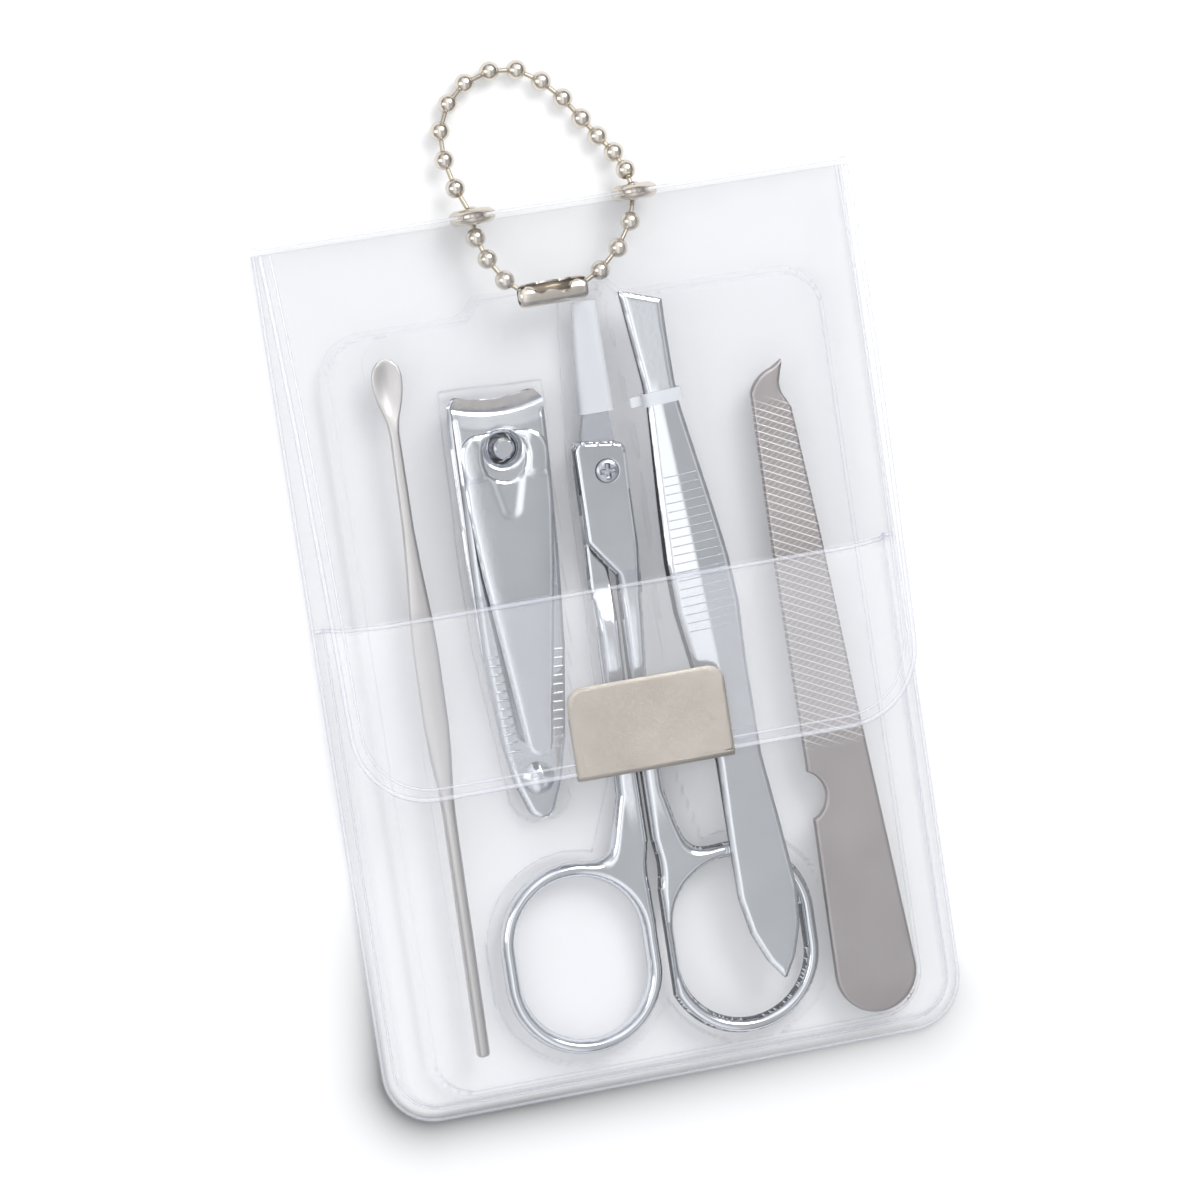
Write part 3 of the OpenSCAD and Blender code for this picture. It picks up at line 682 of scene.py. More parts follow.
def skinned(name: str, points: Array, faces: list, finish: Finish, sharp: float = 50.0) -> bpy.types.Object:
    """Makes one closed mesh piece and turns all its faces outwards.

    Args:
        name: Name of the piece.
        points: Vertices in the row frame, in metres.
        faces: Vertex numbers of each face.
        finish: Its finish.
        sharp: Angle in degrees past which an edge stays sharp.

    Returns:
        The new object.
    """
    obj = raise_mesh(name, points, faces, finish, sharp)
    form = bmesh.new()
    form.from_mesh(obj.data)
    bmesh.ops.recalc_face_normals(form, faces=form.faces)
    form.to_mesh(obj.data)
    form.free()
    return obj


def rod(name: str, path: Points, width: float, height: float, finish: Finish) -> bpy.types.Object:
    """One piece made of a rod along a path on the case.

    Args:
        name: Name of the piece.
        path: The path in millimetres.
        width, height: Size of the rod.
        finish: Its finish.

    Returns:
        The new object.
    """
    points, faces = tube(path, width, height)
    return skinned(name, ON_CASE.out(points), faces, finish, 60)


@dataclass(frozen=True)
class Section:
    """One station of a lofted bar, across the bar's own axis."""

    along: float
    half_w: float
    half_t: float
    middle: float = 0.0
    height: float = 0.0
    dish: float = 0.0


def loft_points(row: Sequence[Section], sides: int, square: float) -> Array:
    """Points of a lofted bar.

    Args:
        row: Its stations.
        sides: Points round each station.
        square: 1 is an ellipse, and less is squarer.

    Returns:
        The points, ring after ring.
    """
    t = np.linspace(0, 2 * math.pi, sides, endpoint=False)
    cx, cz = np.cos(t), np.sin(t)
    ox, oz = np.sign(cx) * abs(cx) ** square, np.sign(cz) * abs(cz) ** square
    rings = []
    for s in row:
        z = s.half_t * oz - s.dish * np.clip(oz, 0, 1) * (1 - ox * ox)
        rings.append(np.stack([s.middle + s.half_w * ox, np.full(sides, s.along), s.height + z], 1))
    return np.concatenate(rings)


def loft(name: str, row: Sequence[Section], place: Place, finish: Finish, square: float = 1.0,
         sides: int = 28) -> bpy.types.Object:
    """Makes a lofted bar.

    Args:
        name: Name of the piece.
        row: Its stations.
        place: Where its own axes stand.
        finish: Its finish.
        square: 1 is an ellipse, and less is squarer.
        sides: Points round each station.

    Returns:
        The new object.
    """
    return skinned(name, place.out(loft_points(row, sides, square)), ring_faces(len(row), sides), finish)


def hollow(name: str, outer: Sequence[Section], wall: float, place: Place, finish: Finish,
           square: float = 0.5, sides: int = 32) -> bpy.types.Object:
    """A tube with a wall, open at both ends.

    Args:
        name: Name of the piece.
        outer: Stations of its outer skin.
        wall: Thickness of its wall.
        place: Where its own axes stand.
        finish: Its finish.
        square: 1 is an ellipse, and less is squarer.
        sides: Points round each station.

    Returns:
        The new object.
    """
    inner = [Section(s.along, s.half_w - wall, s.half_t - wall, s.middle, s.height) for s in outer[::-1]]
    rings = loft_points([*outer, *inner], sides, square)
    return skinned(name, place.out(rings), ring_faces(2 * len(outer), sides, True), finish)


def spun(name: str, profile: Points, middles: Points, finish: Finish, steps: int = 44) -> bpy.types.Object:
    """A ring turned about an axis along Y, made once round each middle.

    Args:
        name: Name of the piece.
        profile: Closed outline of the ring's wall, as radius and y.
        middles: Middle of each ring in millimetres.
        finish: Its finish.
        steps: Stations round the ring.

    Returns:
        The new object.
    """
    wall = np.array(profile, float)
    turns = np.linspace(0, 2 * math.pi, steps, endpoint=False)
    rings = np.concatenate([
        np.stack([wall[:, 0] * math.cos(t), wall[:, 1], wall[:, 0] * math.sin(t)], 1) for t in turns
    ])
    points, faces = [], []
    for middle in middles:
        base = len(rings) * len(points)
        points.append(rings + np.array(middle, float))
        faces += [tuple(k + base for k in face) for face in ring_faces(steps, len(wall), True)]
    return skinned(name, ON_CASE.out(np.concatenate(points)), faces, finish, 40)


# ---- geometry node trees for what repeats ----


class Repeat(Enum):
    """What a tree puts on its source mesh."""

    BALL = "ball"
    ROD = "rod"


@dataclass
class RepeatTree:
    """A tree that turns points into balls, or edges into rods, in one finish."""

    repeat: Repeat
    name: str

    def _tree(self) -> bpy.types.GeometryNodeTree:
        """The tree, built once.

        Returns:
            The node tree, with named inputs for its sizes.
        """
        known = bpy.data.node_groups.get(self.name)
        if known:
            return known
        tree = bpy.data.node_groups.new(self.name, "GeometryNodeTree")
        for name, way, kind in (
            ("Geometry", "INPUT", "Geometry"), ("Radius", "INPUT", "Float"), ("Sides", "INPUT", "Int"),
            ("Finish", "INPUT", "Material"), ("Geometry", "OUTPUT", "Geometry"),
        ):
            tree.interface.new_socket(name, in_out=way, socket_type="NodeSocket" + kind)
        wiring = Wiring(tree)
        given = wiring.add("NodeGroupInput").outputs
        if self.repeat is Repeat.BALL:
            ball = wiring.add("GeometryNodeMeshUVSphere", {
                "Segments": given["Sides"], "Rings": given["Sides"], "Radius": given["Radius"],
            })
            shape = wiring.add("GeometryNodeInstanceOnPoints", {
                "Points": given["Geometry"], "Instance": ball.outputs["Mesh"],
            }).outputs["Instances"]
        else:
            line = wiring.add("GeometryNodeMeshToCurve", {"Mesh": given["Geometry"]})
            ring = wiring.add("GeometryNodeCurvePrimitiveCircle", {
                "Resolution": given["Sides"], "Radius": given["Radius"],
            })
            shape = wiring.add("GeometryNodeCurveToMesh", {
                "Curve": line.outputs["Curve"], "Profile Curve": ring.outputs["Curve"], "Fill Caps": True,
            }).outputs["Mesh"]
        for kind, more in (
            ("RealizeInstances", {}), ("SetShadeSmooth", {}), ("SetMaterial", {"Material": given["Finish"]}),
        ):
            shape = wiring.add("GeometryNode" + kind, {"Geometry": shape, **more}).outputs["Geometry"]
        wiring.add("NodeGroupOutput", {"Geometry": shape})
        return tree

    def grown(self, name: str, points: Array, edges: list, radius: float, sides: int,
              finish: Finish) -> bpy.types.Object:
        """Runs the tree and keeps its result as a plain mesh.

        Args:
            name: Name of the piece.
            points: Places in the row frame, in metres.
            edges: Pairs of points for rods, empty for balls.
            radius: Size in metres.
            sides: Faces round each.
            finish: Its finish.

        Returns:
            The new object.
        """
        source = bpy.data.meshes.new(name + "_source")
        source.from_pydata(points.tolist(), edges, [])
        carrier = bpy.data.objects.new(name + "_carrier", source)
        bpy.context.scene.collection.objects.link(carrier)
        tree = self._tree()
        grow = carrier.modifiers.new("grow", "NODES")
        grow.node_group = tree
        values = {"Radius": radius, "Sides": sides, "Finish": finish.build()}
        for socket in tree.interface.items_tree:
            if socket.in_out == "INPUT" and socket.name in values:
                grow[socket.identifier] = values[socket.name]
        bpy.context.view_layer.update()
        ready = carrier.evaluated_get(bpy.context.evaluated_depsgraph_get())
        mesh = bpy.data.meshes.new_from_object(ready)
        mesh.name = name
        bpy.data.objects.remove(carrier)
        obj = bpy.data.objects.new(name, mesh)
        bpy.context.scene.collection.objects.link(obj)
        LOG.info("%s: %d faces", name, len(mesh.polygons))
        return obj


BALLS = RepeatTree(Repeat.BALL, "bead_string")
BARS = RepeatTree(Repeat.ROD, "rod_row")


# ---- the vinyl case ----


@dataclass
class VinylCase:
    """Back sheet, fold, flap and front pocket, with their welded lines."""

    flap_w: float = 73.0
    flap_end_w: float = 70.5
    flap_r: float = 9.5
    flap_y: float = 40.0
    pinch: float = 2.6
    hinges: Points = ((0, 0.05325, 0), (0, 0.05425, 0.001), (0, 0.05425, 0.0062), (0, 0.05325, 0.0072))

    def case_points(self, margin: float, top: float) -> list[tuple[float, float]]:
        """Outline of the case, drawn in by a margin.

        Args:
            margin: How far it is drawn in.
            top: Its highest y.

        Returns:
            The corners in order.
        """
        half, r = CASE_W / 2 - margin, CORNER_R - margin * 0.6
        return [
            *arc(-half + r, margin + r, r, 180, 270), *arc(half - r, margin + r, r, 270, 360),
            (half, top), (-half, top),
        ]

    def flap_points(self, margin: float = 0.0) -> list[tuple[float, float]]:
        """Outline of the flap, drawn in by a margin.

        Args:
            margin: How far it is drawn in.

        Returns:
            The corners in order.
        """
        half, r = self.flap_end_w / 2 - margin, self.flap_r - margin * 0.7
        low, wide = self.flap_y + margin, self.flap_w / 2 - margin
        return [
            *arc(-half + r, low + r, r, 180, 270), *arc(half - r, low + r, r, 270, 360),
            (half + 0.2, MOUTH_Y), (wide, FOLD_Y), (-wide, FOLD_Y), (-half - 0.2, MOUTH_Y),
        ]

    def squeeze(self, x: Array) -> Array:
        """How far the fold is pressed down towards its two ends."""
        return self.pinch * smooth((np.abs(x) - 18) / 19)

    def flap_level(self, x: Array, y: Array) -> Array:
        """Height of the flap's inner face.

        Args:
            x, y: Places on the case.

        Returns:
            The height of each.
        """
        t = np.clip((y - MOUTH_Y - 4) / (FOLD_Y - MOUTH_Y - 4), 0, 1)
        wave = 0.1 * np.sin(x * 0.19 + 0.6) * np.sin(y * 0.13 + 0.4) * smooth((FOLD_Y - y) / 12)
        return FLAP_Z - (FLAP_Z - SPINE_H + FILM) * t**3 - self.squeeze(x) * t**2 + wave

    @staticmethod
    def pocket_level(depth: Array) -> Array:
        """Height of the front sheet's inner face at a distance in from the case's edge.

        Args:
            depth: Distance in from the edge.

        Returns:
            The height at each distance.
        """
        reach = [0, 1.6, 1.9, 2.4, 3.0, 4.2, 5.6, 7.0, 8.2, 9.4]
        level = [0.35, 0.36, 1.3, 3.1, 4.3, 5.4, 6.6, 7.5, 7.95, POCKET_Z]
        return np.interp(depth, reach, level)

    def build(self) -> None:
        """Makes every vinyl piece, and mounts all but the fold."""
        half = CASE_W / 2
        back = Plate(
            polygon(self.case_points(0, FOLD_Y)), (-half, 0, half, FOLD_Y),
            lambda x, y, d: 0 * x + FILM, lambda x, y, d: 0 * x, 1.5,
        ).raised("back_film", ON_CASE, BACK_VINYL)
        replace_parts(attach(back, "case"), "back_sheet")
        flap = Plate(
            polygon(self.flap_points()), (-half, self.flap_y, half, FOLD_Y),
            lambda x, y, d: self.flap_level(x, y) + FILM, lambda x, y, d: self.flap_level(x, y), 0.9,
        ).raised("flap_film", ON_CASE, FLAP_VINYL)
        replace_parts(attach(flap, "flap"), "flap")
        side = polygon(self.case_points(0, CASE_H + 20))
        pocket = Plate(
            polygon(self.case_points(0, MOUTH_Y)), (-half, 0, half, MOUTH_Y),
            lambda x, y, d: self.pocket_level(-side(x, y)) + FILM,
            lambda x, y, d: self.pocket_level(-side(x, y)), 0.55,
        ).raised("pocket_film", ON_CASE, POCKET, 60)
        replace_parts(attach(pocket, "case"), "front_pocket")
        self._fold()
        self._lines(side)

    def _fold(self) -> None:
        """Makes the fold in two halves, the lower one next to the back and the upper one next to the flap."""
        across = np.linspace(-self.flap_w / 2, self.flap_w / 2, 75)
        low = [(FOLD_Y + math.sin(a), 1 - math.cos(a)) for a in np.linspace(0, math.pi / 2, 9)]
        low += [(CASE_H, z) for z in (1.8, 2.7, SPINE_H / 2)]
        high = [(y, SPINE_H - z) for y, z in low[::-1]]
        for name, rows, bodies, ends in (
            ("fold_lower", low, ("case", "spine"), self.hinges[:2]),
            ("fold_upper", high, ("spine", "flap"), self.hinges[2:]),
        ):
            skin = self._fold_skin(rows, across)
            obj = skinned(name, ON_CASE.out(skin), ring_faces(len(across), 2 * len(rows)), VINYL, 70)
            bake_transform(obj)
            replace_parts(obj, "fold_spine")

    def _fold_skin(self, rows: Points, across: Array) -> Array:
        """Rings of the fold's wall, one at each place across the case.

        Args:
            rows: Places up its outer face, as y and z.
            across: Places across the case.

        Returns:
            The points, ring after ring.
        """
        outer = np.array(rows, float)
        ahead = unit(np.gradient(outer, axis=0))
        inner = outer + np.stack([-ahead[:, 1], ahead[:, 0]], 1) * FILM
        ring = np.concatenate([outer, inner[::-1]])
        rings = []
        for x in across:
            share = 1 - float(self.squeeze(np.array([x]))[0]) / SPINE_H
            rings.append(np.stack([np.full(len(ring), x), ring[:, 0], ring[:, 1] * share], 1))
        return np.concatenate(rings)

    def _lines(self, side: Outline) -> None:
        """Makes the welded and rolled lines: round the flap, along the mouth and round the case.

        Args:
            side: The case's outline, open at the top.
        """
        for k, (margin, width, height) in enumerate(((0.3, 0.55, 0.5), (1.5, 0.32, 0.3))):
            path = self.flap_points(margin)
            open_line = np.array([path[-2], path[-1], *path[:-2]])
            fine = self._resampled(open_line, 0.8)
            z = self.flap_level(fine[:, 0], fine[:, 1]) + FILM * 0.75
            obj = rod(f"flap_line_{k + 1}", np.column_stack([fine, z]), width, height, LINE)
            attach(obj, "flap")
        mouth_x = np.linspace(-CASE_W / 2 + 0.4, CASE_W / 2 - 0.4, 140)
        mouth_y = np.full_like(mouth_x, MOUTH_Y - 0.25)
        level = self.pocket_level(-side(mouth_x, mouth_y)) + FILM * 0.6
        rim = rod("mouth_rim", np.column_stack([mouth_x, mouth_y, level]), 0.5, 0.45, LINE)
        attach(rim, "case")
        for k, (margin, top, width) in enumerate(((0.25, FOLD_Y, 0.4), (1.55, MOUTH_Y, 0.3))):
            path = self.case_points(margin, top)
            fine = self._resampled(np.array([path[-1], *path[:-1]]), 1.0)
            z = np.full(len(fine), FILM * 1.6)
            obj = rod(f"weld_line_{k + 1}", np.column_stack([fine, z]), width, 0.3, LINE)
            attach(obj, "case")

    @staticmethod
    def _resampled(line: Array, step: float) -> Array:
        """Points at an even step along a line.

        Args:
            line: Points of the line.
            step: The step in millimetres.

        Returns:
            The new points.
        """
        lengths = np.concatenate([[0], np.cumsum(np.linalg.norm(np.diff(line, axis=0), axis=1))])
        at = np.linspace(0, lengths[-1], max(int(lengths[-1] / step), 2))
        return np.column_stack([np.interp(at, lengths, line[:, k]) for k in range(line.shape[1])])


# ---- where the tools lie ----

PICK_AT = Place(-24.4, 7.5, TRAY_TOP - 1.1 + 0.12 + 0.82, -0.75)
CLIPPER_AT = Place(-12.5, 34.9, TOOL_Z, -1.75)
TWEEZERS_AT = Place(13.7, 10.5, 5.44, 3.6)
FILE_AT = Place(25.5, 3.9, 3.19, 0)
LEFT_RING, RIGHT_RING, PIVOT = (-10.45, 17.1), (9.2, 16.2), (1.4, 75.5)


@dataclass
class Tray:
    """Moulded tray: one thin sheet drawn down into a recess for each tool."""

    x: float = 0.4
    y: float = 3.1
    w: float = 61.6
    h: float = 92.8
    r: float = 5.0
    wall: float = 0.4
    lip: float = 0.7

    def edge(self) -> Outline:
        """Outline of the tray with its tab, out to the lip's edge.

        Returns:
            A function of x and y, negative inside.
        """
        half, top = self.w / 2 + self.lip, self.y + self.h + self.lip
        low, r = self.y - self.lip, self.r + self.lip
        plate = polygon([
            *arc(self.x - half + r, low + r, r, 180, 270), *arc(self.x + half - r, low + r, r, 270, 360),
            *arc(self.x + half - r, top - r, r, 0, 90), *arc(self.x - half + r, top - r, r, 90, 180),
        ])
        left, right = -12.4 - self.lip, 6.6 + self.lip
        tab = polygon([
            (left, top - 4), (left, top - 0.4), (left + 2, top + 2.2),
            (right - 2, top + 2.2), (right, top - 0.4), (right, top - 4),
        ])
        return filleted(plate, tab, 1.2)

    @staticmethod
    def recesses() -> list[tuple[Outline, float]]:
        """The tools' recesses.

        Returns:
            The outline of each, and the height of its floor's upper face.
        """
        clipper = CLIPPER_AT.seen(polygon([
            *arc(0, 3.4, 3.6, 180, 360), (5.7, 21), (6.1, 32), (6.1, 52.6), (-6.1, 52.6), (-6.1, 32), (-5.7, 21)
        ]))
        blades = strip([(-0.6, 26, 7.6), (0.3, 38, 3.9), (*PIVOT, 4.2), (1.7, 95.2, 2.7)])
        left = slot((-10.65, 15), 10.8, (-10.65, 19.2), 10.8)
        right = slot((9.7, 14.1), 10.7, (9.7, 18.3), 10.7)
        pick = PICK_AT.seen(strip([(0, 1, 1.4), (0, 79.5, 2), (0, 85, 2.4)]))
        tweezers = TWEEZERS_AT.seen(strip([
            (0, 2.5, 2.2), (0, 11, 4.2), (0, 28, 3.3), (0, 48, 4.4), (0, 68, 3.1), (0, 83.4, 3.4)
        ]))
        file = FILE_AT.seen(strip([(0, 5.2, 5.5), (-1, 33, 4.5), (-2.4, 74, 3.3), (-2.6, 80.3, 3.4)]))
        return [
            (union(clipper, blades, left, right), 0.87), (pick, 2.77), (tweezers, 3.09), (file, 3.07),
        ]

    def build(self) -> None:
        """Makes and mounts the tray."""
        outer, rooms = self.edge(), self.recesses()

        def level(x: Array, y: Array, depth: Array) -> Array:
            """Height of the sheet's under side.

            Args:
                x, y: Places on the case.
                depth: Distance in from the outline.

            Returns:
                The height of each.
            """
            z = TRAY_Z + (TRAY_TOP - TRAY_Z - self.wall) * smooth((depth - 0.45) / 0.75)
            for shape, floor in rooms:
                low = floor - self.wall
                z = np.minimum(z, low + (TRAY_TOP - self.wall - low) * smooth((shape(x, y) + 0.1) / 0.75))
            return z

        tray = Plate(
            outer, (-31.4, 2.3, 32.1, 99.2), lambda x, y, d: level(x, y, d) + self.wall, level, 0.42
        ).raised("tray_sheet", ON_CASE, TRAY_FILM, 80)
        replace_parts(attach(tray, "tray"), "tray")


# ---- the metal on the case ----


@dataclass
class BeadChain:
    """Bead chain through both eyelets, with the same places as in the CAD."""

    bead_r: float = 1.2
    wire_r: float = 0.28
    eye_y: float = 108.25
    eye_z: float = 3.6

    def _loop(self) -> Array:
        """Bead places of the outer loop.

        Returns:
            The middle of each bead, from the left eyelet to the right one.
        """
        offsets = [
            (-11.4, 3.6, 2.9), (-12.1, 7.1, 2.2), (-12, 10.6, 1.65), (-10.5, 13.7, 1.35), (-8.1, 15.8, 1.25),
            (-4.9, 16.8, 1.3), (-1.6, 16.5, 1.25), (1.2, 14.7, 1.3), (3.5, 12.3, 1.3), (5.4, 9.6, 1.3),
            (7, 7.2, 1.45), (8.6, 5, 1.9), (9.5, 2.7, 3),
        ]
        return np.array([(x, self.eye_y + y, z) for x, y, z in offsets])

    def _inner(self) -> tuple[Array, Array]:
        """Bead places of the inner run.

        Returns:
            Those on the left and on the right, each from its eyelet to the connector.
        """
        left = [(-10.1, -2.6, 4.2), (-9.2, -5.3, 4.9), (-7.6, -8.1, 5.5), (-5.15, -10.35, 5.75)]
        right = [(8.9, -3.5, 4.1), (6.8, -6.4, 4.8), (4.1, -8.7, 5.45), (0.95, -10.3, 5.75)]
        return tuple(np.array([(x, self.eye_y + y, z) for x, y, z in run]) for run in (left, right))

    def build(self) -> None:
        """Makes and mounts the beads and the links of both runs."""
        eyes = np.array([(x, self.eye_y, self.eye_z) for x in (-EYELET_X, EYELET_X)])
        loop = np.concatenate([eyes[:1], self._loop(), eyes[1:]])
        left, right = self._inner()
        for name, runs, beads, body in (
            ("chain_loop", [loop], loop, "chain_loop"),
            ("chain_inner", [np.vstack([eyes[:1], left]), np.vstack([eyes[1:], right])],
             np.vstack([left, right]), "chain_inner"),
        ):
            balls = BALLS.grown(name + "_balls", ON_CASE.out(beads), [], self.bead_r * MM, 26, BEAD_NICKEL)
            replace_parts(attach(balls, body), name + "_beads")
            points = np.concatenate(runs)
            ends = np.cumsum([len(r) for r in runs])
            pairs = [(i, i + 1) for i in range(len(points) - 1) if i + 1 not in ends]
            wires = BARS.grown(name + "_wires", ON_CASE.out(points), pairs, self.wire_r * MM, 10, WIRE)
            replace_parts(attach(wires, body), name + "_pins")


@dataclass
class Connector:
    """Slotted tube that snaps over the chain's two end beads, cut wider where the beads go in."""

    length: float = 8.3
    radius: float = 1.45
    wall: float = 0.2
    slot_turn: float = 52.0
    sides: int = 30
    place: Place = Place(-2.1, 97.925, 5.75, 0.47)

    def build(self) -> None:
        """Makes and mounts the tube."""
        share = np.linspace(0, 1, 57)
        spread = np.interp(
            share, [0, 0.1, 0.18, 0.3, 0.42, 0.52, 0.64, 0.72, 0.79, 1], [14, 16, 30, 54, 36, 40, 64, 56, 20, 14]
        )
        rings, sides = [], self.sides
        for at, gap in zip(share, spread):
            turns = np.radians(np.linspace(self.slot_turn + gap, self.slot_turn + 360 - gap, sides))
            outer = self.radius - 0.24 * abs(2 * at - 1) ** 12
            r = np.repeat([outer, outer - self.wall], sides)
            t = np.concatenate([turns, turns[::-1]])
            along = np.full(2 * sides, (at - 0.5) * self.length)
            rings.append(np.stack([along, r * np.sin(t), r * np.cos(t)], 1))
        faces = ring_faces(len(share), 2 * sides)
        obj = skinned("connector_tube", self.place.out(np.concatenate(rings)), faces, BEAD_NICKEL)
        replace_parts(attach(obj, "chain_inner"), "chain_connector")


@dataclass
class Eyelets:
    """Both eyelets: a domed flange outside the fold, and the rolled cup inside it."""

    bore: float = 1.4
    flange: float = 2.8

    def build(self) -> None:
        """Makes and mounts the flanges and the cups."""
        middles = [(x, CASE_H, SPINE_H / 2) for x in (-EYELET_X, EYELET_X)]
        b, f = self.bore, self.flange
        dome = [
            (b, -0.6), (b, 0.4), (b + 0.1, 0.55), (b + 0.32, 0.64), (b + 0.65, 0.62), (b + 1.0, 0.47),
            (f - 0.12, 0.26), (f, 0.1), (f - 0.06, 0.01), (b + 0.38, 0.01), (b + 0.38, -0.6),
        ]
        cup = [
            (b + 0.42, -0.38), (f - 0.12, -0.38), (f - 0.02, -0.52), (f - 0.1, -0.78), (f - 0.42, -1.05),
            (b + 0.75, -1.2), (b + 0.38, -1.22), (b + 0.12, -1.12), (b + 0.04, -0.95), (b + 0.04, -0.65),
            (b + 0.42, -0.65),
        ]
        for name, wall, node in (("eyelet_flanges", dome, "eyelets"), ("eyelet_cups", cup, "eyelet_washers")):
            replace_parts(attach(spun(name, wall, middles, BEAD_NICKEL), "spine"), node)


@dataclass
class Clasp:
    """Bent metal clasp: a face with rounded edges, its turn under the flap and the leg behind it."""

    x: float = 1.1
    y: float = 39.95
    w: float = 19.5
    h: float = 10.7
    r: float = 2.0
    thick: float = 0.4
    face_z: float = 9.29
    leg_z: float = 8.44
    leg: float = 7.0

    def build(self) -> None:
        """Makes and mounts the face and the leg."""
        half, top, r = self.w / 2, self.y + self.h, self.r
        left, right = self.x - half, self.x + half
        shape, open_below = (polygon([
            (left, low), (right, low), *arc(right - r, top - r, r, 0, 90), *arc(left + r, top - r, r, 90, 180),
        ]) for low in (self.y, self.y - 3))
        face = Plate(
            shape, (left, self.y, right, top),
            lambda x, y, d: self.face_z + self.thick - 0.16 * worn(-open_below(x, y), 0.3),
            lambda x, y, d: self.face_z + 0 * x, 0.3,
        ).raised("clasp_face", ON_CASE, NICKEL)
        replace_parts(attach(face, "flap"), "clasp")
        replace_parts(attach(self._leg(half), "flap"), "clasp")

    def _leg(self, half: float) -> bpy.types.Object:
        """Makes the turn and the hidden leg.

        Args:
            half: Half the clasp's width.

        Returns:
            The new object.
        """
        middle_z = (self.face_z + self.leg_z + self.thick) / 2
        reach = (self.face_z - self.leg_z) / 2
        turns = np.radians(np.linspace(0, 180, 13))
        line = [(self.y - reach * math.sin(t), middle_z + reach * math.cos(t)) for t in turns]
        line = np.array([(self.y + 0.3, middle_z + reach), *line, (self.y + self.leg, middle_z - reach)])
        ahead = unit(np.gradient(line, axis=0))
        out = np.stack([-ahead[:, 1], ahead[:, 0]], 1)
        rings = []
        for x, share in ((-half, 0.6), (-half + 0.12, 1), (half - 0.12, 1), (half, 0.6)):
            step = out * self.thick / 2 * share
            ring = np.concatenate([line + step, (line - step)[::-1]])
            rings.append(np.stack([np.full(len(ring), self.x + x), ring[:, 0], ring[:, 1]], 1))
        faces = ring_faces(len(rings), 2 * len(line))
        return skinned("clasp_leg", ON_CASE.out(np.concatenate(rings)), faces, NICKEL)


# ---- the tools ----


@dataclass
class EarPick:
    """Ear pick: round rod, flat grip, thin neck and a dished spoon, in one lofted bar."""

    length: float = 85.5
    rod_r: float = 0.82
    grip_w: float = 1.55

    def build(self) -> None:
        """Makes and mounts the ear pick."""
        r, g, end = self.rod_r, self.grip_w, self.length
        shape = [
            (0, 0.3, 0.3, 0), (0.12, r * 0.8, r * 0.8, 0), (0.4, r, r, 0), (30, r, r, 0), (33, 0.95, 0.78, 0),
            (37, 1.35, 0.6, 0), (41, g, 0.55, 0), (50, g, 0.55, 0), (54, 1.4, 0.55, 0), (60, 0.98, 0.58, 0),
            (65, 0.72, 0.6, 0), (76.5, 0.62, 0.6, 0), (78, 0.78, 0.58, 0.1), (79.2, 1.15, 0.55, 0.35),
            (80.5, 1.55, 0.55, 0.6), (82, 1.82, 0.55, 0.75), (83.4, 1.88, 0.52, 0.7), (84.5, 1.6, 0.45, 0.45),
            (85.2, 1.0, 0.32, 0.15), (end, 0.35, 0.12, 0),
        ]
        row = [Section(u, w, t, dish=d) for u, w, t, d in shape]
        pick = loft("ear_pick_bar", row, PICK_AT, SATIN, 0.92)
        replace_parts(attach(pick, "ear_pick"), "ear_pick")


